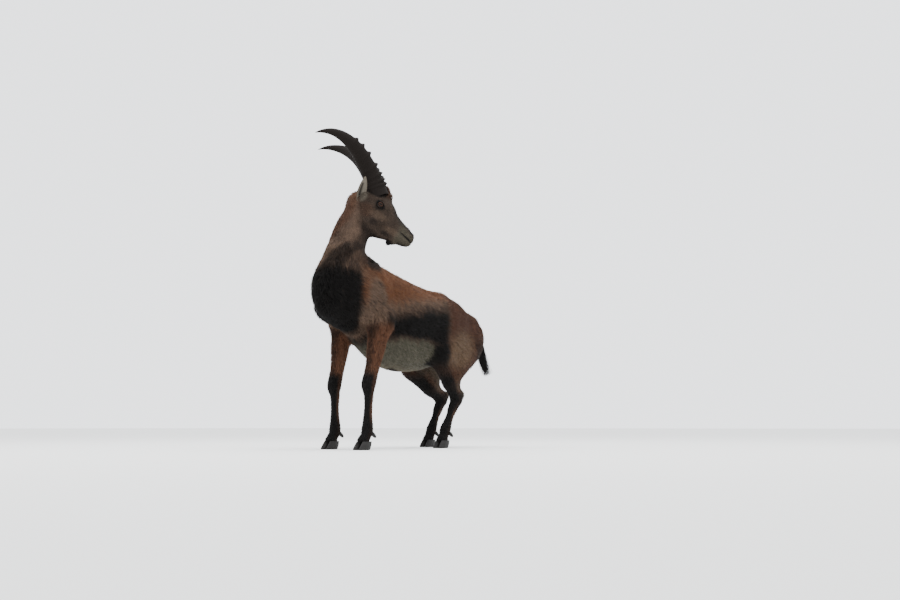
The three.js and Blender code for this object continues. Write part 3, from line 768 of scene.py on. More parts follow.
@dataclass
class Markings:
    """Paints the coat from named bands and patches."""

    flesh: Flesh
    palette: Palette = field(default_factory=Palette)
    band_at: tuple[float, ...] = (-220, -150, -100, 0, 100, 220)
    band_top: tuple[float, ...] = (596, 594, 592, 582, 564, 545)
    band_low: tuple[float, ...] = (390, 410, 438, 450, 466, 452)
    thigh_at: tuple[float, ...] = (340, 370, 430, 500, 550, 600, 640)
    thigh_front: tuple[float, ...] = (-160, -150, -150, -172, -190, -214, -240)
    face_ovals: tuple[tuple[str, float, float, float, float, float], ...] = (
        ("cheek", 96, -4, 44, 18, 0.5),
        ("cheek", 178, -30, 44, 14, 0.7),
        ("dark", 93, -35, 19, 12, 0.7),
        ("dark", 150, -52, 22, 8, 0.8),
    )
    grain_strength: float = 0.2
    patch_strength: float = 0.12

    def colours(self, at: Places) -> np.ndarray:
        """The colour of the coat at points on the skin.

        Args:
            at: The points.

        Returns:
            One linear colour for each.
        """
        self.tone = {name: linear(code) for name, code in self.palette.__dict__.items()}
        self.patch = waves(at.point, 90, 3)
        self.grain = waves(at.point, 22, 4)
        self.colour = np.tile(self.tone["grey_brown"], (len(at.point), 1))
        self.trunk(at)
        self.thighs(at)
        self.chest(at)
        self.legs(at)
        self.face(at)
        mottle = 1 + self.grain_strength * self.grain + self.patch_strength * self.patch
        return self.colour * mottle[:, None]

    def lay(self, name: str, mask: np.ndarray) -> None:
        """Lays one colour over the others.

        Args:
            name: Its name in the palette.
            mask: How much of it, for each point.
        """
        mask = np.clip(mask, 0, 1)[:, None]
        self.colour = self.colour * (1 - mask) + self.tone[name] * mask

    def trunk(self, at: Places) -> None:
        """Chestnut back, grey-brown flank, black band and pale belly.

        Args:
            at: The points.
        """
        x, y, z = at.point.T
        z = z + 12 * self.patch + 12 * self.grain
        top = np.interp(x, self.band_at, self.band_top)
        low = np.interp(x, self.band_at, self.band_low)
        front = np.interp(z, self.thigh_at, self.thigh_front)
        self.lay("chestnut", smooth(z - top, 20, 84))
        self.lay("belly", smooth(z, low + 12, low - 20) * smooth(x, 300, 240))
        self.lay("cream", smooth(z, 380, 335) * smooth(np.abs(y), 80, 20) * smooth(x, 200, 120) * 0.3)
        side = smooth(x, front - 34, front + 14) * smooth(x, 262, 226)
        self.lay("black", smooth(z, top + 42, top - 34) * smooth(z, low - 20, low + 20) * side)
        self.lay("dark", smooth(x, 190, 250) * smooth(z, 470, 440))
        under = smooth(z, 380, 340) * smooth(x, 90, 40)
        self.lay("dark", smooth(np.hypot((x - 30) * 0.6, y), 24, 12) * under)

    def thighs(self, at: Places) -> None:
        """Brown thighs with a black front edge and a pale seat.

        Args:
            at: The points.
        """
        x, y, z = at.point.T
        for leg in self.flesh.legs[2:]:
            s = math.copysign(1, leg.foot[1])
            front = np.interp(z, self.thigh_at, self.thigh_front) + (0 if s > 0 else -30)
            mine = smooth(x, front + 6, front - 26) * smooth(y * s, 10, 40) * smooth(z, 250, 330)
            outer = smooth(y * s, 70, 105)
            self.lay("rump", mine)
            bright = smooth(np.hypot((x + 262 + (z - 420) * 0.35) * 0.75, z - 425), 120, 40)
            self.lay("sand", mine * bright * outer)
            strip = smooth(x, front - 26, front + 4) * smooth(z, 460, 430) * smooth(z, 300, 340)
            self.lay("black", strip * smooth(y * s, 62, 84) * smooth(x, -86, -100))
            self.lay("belly", mine * smooth(outer, 0.5, 0) * smooth(z, 470, 420) * 0.6)
            self.lay("black", mine * smooth(x - (z - 380) * 0.4, -412, -440) * smooth(z, 520, 440) * 0.7)
        self.lay("rump", smooth(x, -330, -400) * smooth(z, 540, 590))
        self.lay("cream", smooth(np.abs(y), 52, 26) * smooth(x, -468, -494) * smooth(z, 585, 540) * 0.85)

    def chest(self, at: Places) -> None:
        """Black chest that runs up the throat in streaks, and a grey-brown neck with a darker nape.

        Args:
            at: The points.
        """
        x, y, z = at.point.T
        over = at.high[1] / np.maximum(np.hypot(at.high[1], at.beside[1]), 1e-3)
        neck = smooth(at.away[1], 34, 0) * smooth(x, 230, 290)
        self.lay("neck", neck)
        self.lay("grey_brown", neck * smooth(z, 760, 860) * smooth(over, 0.1, -0.5) * 0.8)
        self.lay("rust", neck * smooth(over, -0.1, 0.5) * smooth(z, 760, 860) * 0.9)
        self.lay("chestnut", neck * smooth(over, 0.3, 0.8) * smooth(z, 860, 720))
        ragged = 34 * self.grain + 16 * self.patch
        throat = smooth(over + 0.12 * self.grain, 0.4, 0.0)
        front = x - 60 * smooth(z, 680, 730)
        withers = smooth(y - 0.9 * (x - 300), 70, 40)
        low = smooth(z + ragged, 775, 690) * smooth(neck + (z < 700), 0, 1)
        self.lay("black", smooth(front, 262, 318) * withers * throat * low)
        under = smooth(over, -0.75, -0.95) * smooth(z + ragged, 870, 800)
        self.lay("black", smooth(x, 296, 334) * under * 0.75)
        self.lay("black", smooth(x, 330, 380) * smooth(z, 740, 690) * throat)
        mottle = smooth(waves(at.point * [1, 1, 0.45], 15, 9), 0.75, 1.05)
        self.lay("streak", smooth(x, 300, 350) * mottle * smooth(z, 500, 560) * smooth(z, 760, 720) * 0.75)

    def legs(self, at: Places) -> None:
        """Shoulders, and lower legs that are black in front and tan behind.

        Args:
            at: The points.
        """
        x, y, z = at.point.T
        for i, leg in enumerate(self.flesh.legs):
            s = math.copysign(1, leg.foot[1])
            mine = smooth(at.away[3 + i], 22, -2)
            ahead = at.high[3 + i] + 0.12 * self.grain
            if leg.fore:
                spot = np.hypot((x - 278) * 1.2, (z - 590) * 0.66)
                shoulder = smooth(spot, 88, 56) * smooth(y * s, 50, 95)
                self.lay("grey_brown", shoulder)
                self.lay("dark", shoulder * smooth(waves(at.point, 18, 12), 0.3, 0.9) * 0.6)
                upper = mine * smooth(z, 540, 490) * smooth(y * s, 20, 60)
                self.lay("leg", upper)
                self.lay("dark", upper * smooth(waves(at.point, 16, 12), 0.2, 0.9) * 0.6)
                self.lay("black", upper * smooth(ahead, 0.5, 0.95) * 0.8)
            low = mine * smooth(z, 330 if leg.fore else 390, 290)
            self.lay("rust", low * 0.9)
            self.lay("black", low * smooth(ahead, 0.0, 0.42))
            self.lay("black", low * smooth(z, 150, 96) * 0.85)
            joint = abs(z - leg.knee[2] + (0 if leg.fore else 6))
            self.lay("black", low * smooth(joint, 52, 24) * (0.4 if leg.fore else 0.85))
            heel = smooth(ahead, -0.55, -0.85) * smooth(z, 200, 120) * smooth(z, 44, 60)
            self.lay("cream", low * heel * 0.4)

    def face(self, at: Places) -> None:
        """Face, muzzle, rims of the eyes, ears' roots and beard.

        Args:
            at: The points.
        """
        hx, hy, hz = at.head.T
        head = smooth(hx * 0.8 + (hz + 25) * 0.6, -8, 34) * at.near(110, 0, -10, 210, 180)
        side = smooth(np.abs(hy), 12, 26)
        self.lay("face", head)
        self.lay("rust", head * smooth(hz - 0.2 * hx, 52, 76) * smooth(hx, 140, 100) * 0.8)
        self.lay("rust", head * at.oval(40, -8, 40, 30) * side * 0.4)
        self.lay("bridge", head * smooth(np.abs(hy), 30, 12) * smooth(hx, 96, 120) * smooth(hz, -6, 12))
        for tone, x, z, wide, tall, much in self.face_ovals:
            self.lay(tone, head * at.oval(x, z, wide, tall) * side * much)
        self.lay("dark", head * smooth(hz + 0.15 * hx, -42, -58) * smooth(hx, 232, 200) * 0.7)
        self.lay("lips", head * smooth(hx, 178, 214) * smooth(hz + 0.35 * (hx - 200), 20, 4))
        self.lay("black", head * at.oval(180, -74, 22, 13))
        drop = -14 - 0.2 * (hx - 200)
        mouth = smooth(hx, 192, 222) * smooth(np.abs(hz - drop + 1), 2.5 + (hx - 190) * 0.07, 1.0)
        self.lay("black", head * mouth * smooth(hx, 262, 250))
        self.lay("dark", head * smooth(hx, 200, 236) * smooth(hz, -46, -56))
        self.lay("pale", smooth(np.hypot((hx - 3) * 1.3, hz - 34), 30, 14) * smooth(np.abs(hy), 26, 40) * 0.8)
        for s in (1, -1):
            long = (hx - 82) * 0.93 - (hz - 35) * 0.37
            rim = np.hypot(long * 0.62, (hz - 35) * 0.93 + (hx - 82) * 0.37)
            self.lay("black", head * smooth(rim, 17, 12) * smooth(hy * s, 20, 34))
            self.lay("dark", head * at.near(80, 58 * s, 24, 17, 9) * 0.8)
            self.lay("black", head * at.near(244, 16 * s, 9, 12, 7))
            self.lay("black", at.near(34, 32 * s, 84, 52, 42) * smooth(hz, 52, 64) * 0.9)
        self.lay("dark", at.near(-34, 0, 44, 36, 18) * 0.8)


@dataclass
class Lie:
    """Which way the hair lies."""

    flesh: Flesh

    def direction(self, at: Places) -> np.ndarray:
        """The lie of the hair at points on the skin.

        Args:
            at: The points.

        Returns:
            One unit vector in the skin for each.
        """
        total = np.zeros_like(at.point)
        for zone, tube in zip(Zone, self.flesh.zones):
            step = np.minimum((at.share[zone.value] * (len(tube.at) - 1)).astype(int), len(tube.at) - 1)
            way = tube.along[step].copy()
            if zone in (Zone.TRUNK, Zone.NECK, Zone.HEAD):
                way = -way
            if zone is Zone.TRUNK:
                way = unit(way + np.array([0, 0, -0.55]))
            if zone in (Zone.HINDLEG_LEFT, Zone.HINDLEG_RIGHT, Zone.FORELEG_LEFT, Zone.FORELEG_RIGHT):
                way = unit(way + np.array([-0.25, 0, 0]))
            total += way * at.weight[zone.value][:, None]
        jitter = np.stack([waves(at.point, 34, 20 + k) for k in range(3)], 1) * 0.22
        total = unit(total) + jitter
        total -= np.sum(total * at.normal, -1, keepdims=True) * at.normal
        return unit(total)


# Finishes


def relief_group() -> bpy.types.NodeTree:
    """The shared effect of fine relief, which is built once.

    Returns:
        A shader group that takes Grain, Detail, Strength and Depth, and gives a Normal.
    """
    made = bpy.data.node_groups.get("fine_relief")
    if made:
        return made
    made = bpy.data.node_groups.new("fine_relief", "ShaderNodeTree")
    for name in ("Grain", "Detail", "Strength", "Depth"):
        made.interface.new_socket(name, in_out="INPUT", socket_type="NodeSocketFloat")
    made.interface.new_socket("Normal", in_out="OUTPUT", socket_type="NodeSocketVector")
    given, taken = made.nodes.new("NodeGroupInput"), made.nodes.new("NodeGroupOutput")
    noise, bump = made.nodes.new("ShaderNodeTexNoise"), made.nodes.new("ShaderNodeBump")
    made.links.new(given.outputs["Grain"], noise.inputs["Scale"])
    made.links.new(given.outputs["Detail"], noise.inputs["Detail"])
    made.links.new(given.outputs["Strength"], bump.inputs["Strength"])
    made.links.new(given.outputs["Depth"], bump.inputs["Distance"])
    made.links.new(noise.outputs["Fac"], bump.inputs["Height"])
    made.links.new(bump.outputs["Normal"], taken.inputs["Normal"])
    return made


@dataclass(frozen=True)
class Relief:
    """Fine relief of a finish: scale and detail of its grain, how strong it is, and its depth in metres."""

    strength: float
    grain: float
    detail: float = 2.0
    depth: float = 0.001

    def add(self, material: bpy.types.Material) -> None:
        """Places the shared effect in a material, with its own values.

        Args:
            material: The material, which has its shader already.
        """
        nodes, links = material.node_tree.nodes, material.node_tree.links
        effect = nodes.new("ShaderNodeGroup")
        effect.node_tree = relief_group()
        effect.inputs["Grain"].default_value = self.grain
        effect.inputs["Detail"].default_value = self.detail
        effect.inputs["Strength"].default_value = self.strength
        effect.inputs["Depth"].default_value = self.depth
        links.new(effect.outputs["Normal"], nodes["Principled BSDF"].inputs["Normal"])


@dataclass(frozen=True)
class Finish:
    """A finish. Without a colour of its own it reads the coat's colour from the mesh."""

    name: str
    roughness: float
    colour: str | None = None
    specular: float = 0.12
    relief: Relief | None = None

    def material(self) -> bpy.types.Material:
        """Builds the material.

        Returns:
            The new material.
        """
        made = bpy.data.materials.new(self.name)
        made.use_nodes = True
        nodes, links = made.node_tree.nodes, made.node_tree.links
        shader = nodes["Principled BSDF"]
        shader.inputs["Roughness"].default_value = self.roughness
        shader.inputs["Specular IOR Level"].default_value = self.specular
        if self.colour:
            shader.inputs["Base Color"].default_value = (*linear(self.colour), 1)
        else:
            painted = nodes.new("ShaderNodeAttribute")
            painted.attribute_name = "Coat"
            links.new(painted.outputs["Color"], shader.inputs["Base Color"])
        if self.relief:
            self.relief.add(made)
        return made


SKIN = Finish("skin", 0.85, relief=Relief(0.5, 260, 4, 0.002))
HAIR = Finish("hair", 0.6)
EYE = Finish("eye", 0.08)
HORN = Finish("horn", 0.8, "100b08", 0.12, Relief(0.5, 160))
HOOF = Finish("hoof", 0.6, "12100e", 0.25, Relief(0.3, 300))
TAIL_HAIR = Finish("tail_hair", 0.6, "0e0b0a", 0.15)
PALE_FLOOR = Finish("floor_pale", 0.9, "e6e6e4", 0.5)


# Pieces


FLESH_NODES = ["torso", "neck", "head"] + [
    f"{leg.name}_{part}" for leg in LEGS for part in ("upper", "lower")
]


@dataclass
class Skin:
    """One skin over all the flesh: a coarse part for the body and a fine part for the head."""

    flesh: Flesh
    markings: Markings
    body_cell: float = 9.0
    head_cell: float = 3.6
    low: tuple[float, float, float] = (-560.0, -190, 25)
    high: tuple[float, float, float] = (500.0, 190, 1060)
    head_corners: tuple[tuple[float, float, float], ...] = (
        (-50, 0, 60), (-30, 0, -110), (275, 0, 60), (275, 0, -95), (60, 85, 0), (60, -85, 0), (60, 0, 125),
    )
    cut_at: tuple[float, float, float] = (28, 0, -25)
    cut_way: tuple[float, float, float] = (0.8, 0, 0.6)
    head_middle: tuple[float, float, float] = (110, 0, -10)
    head_reach: float = 178
    overlap: float = 2.5
    shade: float = 0.7

    def past_cut(self, p: np.ndarray) -> np.ndarray:
        """How far points lie on the head's side of the cut behind the cheeks."""
        body = self.flesh.body
        return (p - body.in_head(self.cut_at)) @ (body.turn @ unit(np.array(self.cut_way)))

    def trunk_value(self, p: np.ndarray) -> np.ndarray:
        """The field of the body's skin, which ends at the cut and at the coronets.

        Args:
            p: Points in millimetres.

        Returns:
            One value for each point, below 0 inside the skin.
        """
        body = self.flesh.body
        reach = np.linalg.norm(p - body.in_head(self.head_middle), axis=-1) - self.head_reach
        head = np.minimum(self.past_cut(p) - self.overlap, -reach)
        return np.maximum(np.maximum(self.flesh.value(p), head), body.coronet - 1 - p[:, 2])

    def head_value(self, p: np.ndarray) -> np.ndarray:
        """The field of the head's skin, with its fine cuts and folds."""
        return np.maximum(self.flesh.value(p, fine=True), -self.past_cut(p))

    def build(self) -> list[bpy.types.Object]:
        """Meshes and paints the skin.

        Returns:
            The objects that make up the skin.
        """
        body = self.flesh.body
        whole = surface(self.trunk_value, np.array(self.low), np.array(self.high), self.body_cell)
        corners = np.array([body.in_head(corner) for corner in self.head_corners])
        face = surface(self.head_value, corners.min(0), corners.max(0), self.head_cell)
        pieces = []
        for name, part in (("skin_body", whole), ("skin_head", face)):
            thing = mesh_object(name, body.to_row(part.points), part.quads)
            normals = np.zeros(len(part.points) * 3)
            thing.data.vertices.foreach_get("normal", normals)
            at = Places(part.points, normals.reshape(-1, 3), self.flesh)
            paint(thing, self.markings.colours(at) * self.shade)
            zone = at.zone[part.quads[:, 0]]
            corner_uv = np.stack([at.uv(part.quads[:, k], zone) for k in range(4)], 1)
            spread = corner_uv[:, :, 0] - corner_uv[:, :1, 0]
            corner_uv[:, :, 0] -= np.where(spread > 0.115, 0.23, 0) - np.where(spread < -0.115, 0.23, 0)
            unwrap(thing, corner_uv.reshape(-1, 2))
            pieces.append(thing)
            log.info("%s: %d quads", name, len(part.quads))
        return pieces


@dataclass
class Coat:
    """Tufts over the whole skin, as solid tapered blades."""

    flesh: Flesh
    markings: Markings
    lie: Lie
    count: int = 118000
    per_piece: int = 18000
    head_density: float = 2.4
    trunk_length: float = 19
    mane_more: float = 11
    leg_less: float = 10
    head_length: float = 7.5
    muzzle_less: float = 3.2
    crown_more: float = 9
    trunk_width: float = 2.3
    wild_share: float = 0.04
    pale_share: float = 0.1
    shade: float = 0.93

    def sizes(self, at: Places, rng: np.random.Generator) -> tuple[np.ndarray, np.ndarray, np.ndarray]:
        """Length, width and lift of a tuft at each point.

        Args:
            at: The roots.
            rng: Source of variation.

        Returns:
            Three sizes for each root.
        """
        p = at.point
        head = smooth(np.linalg.norm(at.head - [120, 0, -10], axis=-1), 215, 165)
        low = smooth(p[:, 2], 380, 240)
        mane = smooth(np.linalg.norm(p - np.array([350, 10, 740]), axis=-1), 300, 130)
        length = self.trunk_length + self.mane_more * mane - self.leg_less * low
        length = length * (1 - head) + self.head_length * head
        muzzle = head * smooth(at.head[:, 0], 120, 200)
        length -= self.muzzle_less * muzzle
        crown = head * smooth(at.head[:, 2], 74, 92)
        length += self.crown_more * crown
        width = self.trunk_width + 0.6 * mane - 0.5 * low - 0.9 * head
        lift = self.flesh.depth(p) * rng.uniform(0.6, 1.15, len(p))
        wild = rng.random(len(p)) < self.wild_share
        lift = lift * np.where(wild, 1.6, 1) + 3.5 * crown
        return length * rng.uniform(0.7, 1.3, len(p)), width * rng.uniform(0.75, 1.25, len(p)), lift

    def build(self, skins: list[bpy.types.Object]) -> list[bpy.types.Object]:
        """Sets the tufts on the skin.

        Args:
            skins: The skin's objects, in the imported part's frame.

        Returns:
            The pieces of the coat.
        """
        rng = np.random.default_rng(SEED)
        roots = []
        for skin, extra in zip(skins, (1.0, self.head_density)):
            points, normal, area = self.triangles(skin)
            share = area.sum() * extra
            roots.append((points, normal, area * extra, share))
        total = sum(r[3] for r in roots)
        places, ways = [], []
        for points, normal, area, share in roots:
            n = int(self.count * share / total)
            pick = rng.choice(len(area), n, p=area / area.sum())
            a, b = rng.random((2, n))
            flip = a + b > 1
            a[flip], b[flip] = 1 - a[flip], 1 - b[flip]
            first, second, third = points[pick].transpose(1, 0, 2)
            places.append(first + a[:, None] * (second - first) + b[:, None] * (third - first))
            ways.append(normal[pick])
        root = np.concatenate(places) / MM - self.flesh.body.origin
        normal = np.concatenate(ways)
        at = Places(root, normal, self.flesh)
        keep = self.is_hairy(at)
        at = Places(root[keep], normal[keep], self.flesh)
        share = at.share[at.zone, np.arange(len(at.zone))]
        order = np.argsort(at.zone * 10 + np.floor(share * 9.99), kind="stable")
        at = Places(at.point[order], at.normal[order], self.flesh)
        return self.tufts(at, rng)

    def triangles(self, skin: bpy.types.Object) -> tuple[np.ndarray, np.ndarray, np.ndarray]:
        """Triangles of a skin.

        Args:
            skin: The object.

        Returns:
            Corners, normals and areas.
        """
        mesh = skin.data
        co = np.zeros(len(mesh.vertices) * 3)
        mesh.vertices.foreach_get("co", co)
        co = co.reshape(-1, 3)
        quads = np.zeros(len(mesh.polygons) * 4, int)
        mesh.loops.foreach_get("vertex_index", quads)
        quads = quads.reshape(-1, 4)
        tri = co[np.concatenate([quads[:, [0, 1, 2]], quads[:, [0, 2, 3]]])]
        cross = np.cross(tri[:, 1] - tri[:, 0], tri[:, 2] - tri[:, 0])
        vertex = np.zeros(len(mesh.vertices) * 3)
        mesh.vertices.foreach_get("normal", vertex)
        vertex = vertex.reshape(-1, 3)
        normal = unit(np.concatenate([vertex[quads].mean(1)] * 2))
        return tri, normal, np.linalg.norm(cross, axis=-1) / 2

    def is_hairy(self, at: Places) -> np.ndarray:
        """Where hair grows: not on the eyes or nostrils, nor below the coronets.

        Args:
            at: The roots.

        Returns:
            True for each root that is kept.
        """
        keep = at.point[:, 2] > self.flesh.body.coronet + 1
        for s in (1, -1):
            eye = np.linalg.norm(at.head - [80, 60 * s, 39], axis=-1)
            nose = np.linalg.norm(at.head - [248, 15 * s, 6], axis=-1)
            keep &= (eye > 17) & (nose > 10)
        return keep

    def tufts(self, at: Places, rng: np.random.Generator) -> list[bpy.types.Object]:
        """Makes the blades.

        Args:
            at: The roots.
            rng: Source of variation.

        Returns:
            The pieces of the coat.
        """
        n = len(at.point)
        length, width, lift = self.sizes(at, rng)
        way = self.lie.direction(at)
        side = np.cross(at.normal, way)
        way = unit(way + side * rng.normal(0, 0.13, n)[:, None])
        side = unit(np.cross(at.normal, way))
        base = at.point - at.normal * 1.2
        half, third = (width / 2)[:, None], (width * 0.42)[:, None]
        middle = base + way * (length * 0.48)[:, None] + at.normal * (lift * 0.72 + 1.0)[:, None]
        tip = base + way * length[:, None] + at.normal * (lift + 0.6)[:, None]
        tip += side * (rng.normal(0, 0.07, n) * length)[:, None]
        points = np.stack([
            base + side * half, base - side * half, base + at.normal * third + way * 0.5,
            middle + side * half * 0.8, middle - side * half * 0.8, middle + at.normal * third * 0.8,
            tip,
        ], 1)
        faces = np.array([[1, 0, 2], [0, 1, 4], [0, 4, 3], [2, 0, 3], [2, 3, 5], [1, 2, 5], [1, 5, 4],
                          [3, 4, 6], [5, 3, 6], [4, 5, 6]])
        colours = self.markings.colours(at)
        shade = rng.normal(self.shade, 0.13, n)[:, None]
        pale = rng.random(n)[:, None] < self.pale_share
        colours = colours * np.where(pale, 1.35, 1) * shade
        # Painted shade: each tuft is darker towards its root, deep among the other tufts, and lighter towards
        # its tip.
        root_shade_ramp = np.array([0.55, 0.55, 0.6, 0.95, 0.95, 1.0, 1.3])
        tint = colours[:, None, :] * root_shade_ramp[None, :, None]
        uv = at.uv(np.arange(n), at.zone)
        spots = np.array([[-1, 0], [1, 0], [0, 0.4], [-0.8, 0.6], [0.8, 0.6], [0, 0.8], [0, 1]]) * 0.0015
        pieces = []
        for k, chunk in enumerate(np.array_split(np.arange(n), math.ceil(n / self.per_piece))):
            number = np.arange(len(chunk))[:, None, None] * 7 + faces[None]
            placed = self.flesh.body.to_row(points[chunk].reshape(-1, 3))
            thing = mesh_object(f"coat_{k + 1:02d}", placed, number.reshape(-1, 3))
            paint(thing, tint[chunk].reshape(-1, 3))
            corner = uv[chunk][:, None, None, :] + spots[faces][None]
            unwrap(thing, corner.reshape(-1, 2))
            pieces.append(thing)
        log.info("coat: %d tufts in %d pieces", n, len(pieces))
        return pieces


@dataclass
class Horns:
    """Two knobbed horns."""

    body: Body
    root: tuple[float, float, float] = (38, 32, 80)
    length: float = 384
    sunk: float = 0.06
    radius: float = 34
    lean: float = 143
    turn: float = 87
    bend: float = 2.3
    flare: tuple[float, float] = (3, 35)
    rings: int = 210
    sides: int = 44
    knobs: tuple[float, ...] = (0.05, 0.1, 0.167, 0.267, 0.4, 0.5, 0.583)
    knob_wide: float = 0.017
    knob_high: float = 0.3
    unlike: dict[Side, tuple[float, float]] = field(
        default_factory=lambda: {Side.LEFT: (1.15, 0.84), Side.RIGHT: (1.0, 1.0)})

    def knob(self, share: float) -> float:
        """How far a knob stands out.

        Args:
            share: Share of the horn's length.

        Returns:
            From 0 to 1.
        """
        return max(math.exp(-(((share - knob) / self.knob_wide) ** 2)) for knob in self.knobs)

    def build(self, side: Side) -> bpy.types.Object:
        """Makes one horn.

        Args:
            side: Which one.

        Returns:
            The horn.
        """
        s = side.value
        long, flare_share = self.unlike[side]
        lean = math.radians(self.lean)
        place = np.array([self.root[0], self.root[1] * s, self.root[2]], float)
        place -= np.array([math.cos(lean), 0, math.sin(lean)]) * self.sunk * self.length * long
        step = self.length * long * (1 + self.sunk) / self.rings
        rows = []
        rng = np.random.default_rng(SEED + s)
        phase = rng.uniform(0, 6, 6)
        for r in range(self.rings + 1):
            share = max(0.0, (1 + self.sunk) * r / self.rings - self.sunk)
            angle = math.radians(self.lean + self.turn * share**self.bend)
            swing = math.sin(math.pi * min(1, share * 1.15))
            flare = math.radians(self.flare[0] + self.flare[1] * flare_share * swing)
            flat = math.cos(flare)
            along = np.array([math.cos(angle) * flat, math.sin(flare) * s, math.sin(angle) * flat])
            front = np.array([math.sin(angle), 0, -math.cos(angle)])
            out = unit(np.cross(front, along))
            radius = self.radius * (1 - share**2.28) ** 0.95 + 0.8
            knob = self.knob(share)
            turn = np.arange(self.sides) / self.sides * 2 * math.pi
            forward = np.cos(turn)
            blunt = 1 + 0.1 * np.maximum(forward, 0)
            raised = 1 + knob * self.knob_high * smooth(forward, 0.1, 0.75)
            ridge = 1 + 0.006 * math.sin(share * 260 + phase[0]) + 0.005 * math.sin(share * 611 + phase[1])
            ridge += 0.006 * np.sin(turn * 5 + phase[2] + share * 4) + 0.004 * np.sin(turn * 11 + phase[3])
            rows.append(
                place + front * (forward * radius * raised * blunt * ridge)[:, None]
                + out * (np.sin(turn) * radius * 0.74 * (1 + 0.1 * knob) * ridge)[:, None])
            place = place + along * step
        rows.append(np.repeat(place[None], self.sides, 0))
        points = self.body.to_row(self.body.in_head(np.concatenate(rows)))
        quads = [
            [r * self.sides + i, r * self.sides + (i + 1) % self.sides,
             (r + 1) * self.sides + (i + 1) % self.sides, (r + 1) * self.sides + i]
            for r in range(len(rows) - 1) for i in range(self.sides)
        ]
        return mesh_object(f"horn_{side.name.lower()}_fine", points, quads)


@dataclass
class Ears:
    """Two ears: a rolled leaf that is open to the side and front."""

    body: Body
    root: tuple[float, float, float] = (-2, 48, 14)
    tip: tuple[float, float, float] = (-22, 102, 97)
    wide: float = 20
    opening: tuple[float, float, float] = (0.6, 0.75, 0.1)
    along_count: int = 28
    across_count: int = 22
    inner: str = "5f5950"
    outer: str = "44372d"
    # Painted shade: near-black down the deepest part of the ear's inner hollow.
    hollow_shade: str = "0c0a09"

    def build(self, side: Side) -> bpy.types.Object:
        """Makes one ear and paints it.

        Args:
            side: Which one.

        Returns:
            The ear.
        """
        s = side.value
        root = np.array([self.root[0], self.root[1] * s, self.root[2]], float)
        axis = np.array([self.tip[0], self.tip[1] * s, self.tip[2]]) - root
        length = float(np.linalg.norm(axis))
        axis = axis / length
        toward = np.array([self.opening[0], self.opening[1] * s, self.opening[2]])
        opening = unit(toward - axis * (toward @ axis))
        across = unit(np.cross(opening, axis))
        rows, tints = [], []
        inner, outer, hollow_shade = linear(self.inner), linear(self.outer), linear(self.hollow_shade)
        for r in range(self.along_count + 1):
            share = r / self.along_count
            wide = self.wide * math.sin(math.pi * (0.16 + 0.82 * share)) ** 0.8 + 1
            roll = math.radians(105 + (50 - 105) * share)
            thick = 3.2 + (1.2 - 3.2) * share
            centre = root + axis * (length * share - 8 * (1 - share))
            turn = np.linspace(-roll, roll, self.across_count)
            narrow = max(math.sin(min(roll, math.pi / 2)), 0.5)
            for radius, tint in ((wide, outer), (wide - thick, inner)):
                row = (
                    centre + across * (np.sin(turn) * radius / narrow)[:, None]
                    + opening * ((math.cos(roll) - np.cos(turn)) * radius * 0.8)[:, None])
                # Painted shade down the middle of the inner face, where the rolled ear is deepest, from a
                # fifth to three quarters of its length.
                dark = np.clip(1 - np.abs(turn) / (roll * 0.35), 0, 1)[:, None] * (0.2 < share < 0.75)
                colour = tint * (1 - dark) + hollow_shade * dark if tint is inner else np.tile(tint, (len(turn), 1))
                if tint is inner:
                    row, colour = row[::-1], colour[::-1]
                rows.append(row)
                tints.append(colour)
        ring = 2 * self.across_count
        points = self.body.to_row(self.body.in_head(np.concatenate(rows)))
        quads = [
            [r * ring + i, r * ring + (i + 1) % ring, (r + 1) * ring + (i + 1) % ring, (r + 1) * ring + i]
            for r in range(self.along_count) for i in range(ring)
        ]
        last = self.along_count * ring
        quads += [
            [last + i, last + i + 1, last + ring - 2 - i, last + ring - 1 - i]
            for i in range(self.across_count - 1)
        ]
        if s < 0:
            quads = [q[::-1] for q in quads]
        thing = mesh_object(f"ear_{side.name.lower()}_fine", points, quads)
        paint(thing, np.concatenate(tints))
        return thing


@dataclass
class Eyes:
    """Two eyes with a wide, level pupil."""

    body: Body
    outward: tuple[float, float, float] = (0.3, 1, 0.05)
    rings: int = 40
    sides: int = 56
    iris_reach: float = 0.62
    pupil: tuple[float, float] = (0.42, 0.2)
    white_colour: str = "16100d"
    iris_colour: str = "2e190e"
    pupil_colour: str = "030202"

    def build(self, side: Side) -> bpy.types.Object:
        """Makes one eyeball.

        Args:
            side: Which one.

        Returns:
            The eyeball.
        """
        s = side.value
        rings, sides = self.rings, self.sides
        way = unit(np.array([self.outward[0], self.outward[1] * s, self.outward[2]]))
        level = unit(np.cross(UP, way))
        up = np.cross(way, level)
        centre = self.body.eye_at(s)
        points, tints = [], []
        white, iris = linear(self.white_colour), linear(self.iris_colour)
        for r in range(rings + 1):
            a = math.pi * r / rings
            for i in range(sides):
                b = 2 * math.pi * i / sides
                ray = way * math.cos(a) + (level * math.cos(b) + up * math.sin(b)) * math.sin(a)
                x, y = math.sin(a) * math.cos(b), math.sin(a) * math.sin(b)
                points.append(centre + ray * (self.body.eye_radius - 0.15))
                tint = iris if math.hypot(x, y) < self.iris_reach and math.cos(a) > 0 else white
                if math.hypot(x / self.pupil[0], y / self.pupil[1]) < 1 and math.cos(a) > 0:
                    tint = linear(self.pupil_colour)
                tints.append(tint)
        quads = [
            [r * sides + i, r * sides + (i + 1) % sides,
             (r + 1) * sides + (i + 1) % sides, (r + 1) * sides + i]
            for r in range(rings) for i in range(sides)
        ]
        placed = self.body.to_row(self.body.in_head(np.array(points)))
        thing = mesh_object(f"eye_{side.name.lower()}_fine", placed, quads)
        paint(thing, np.array(tints))
        return thing


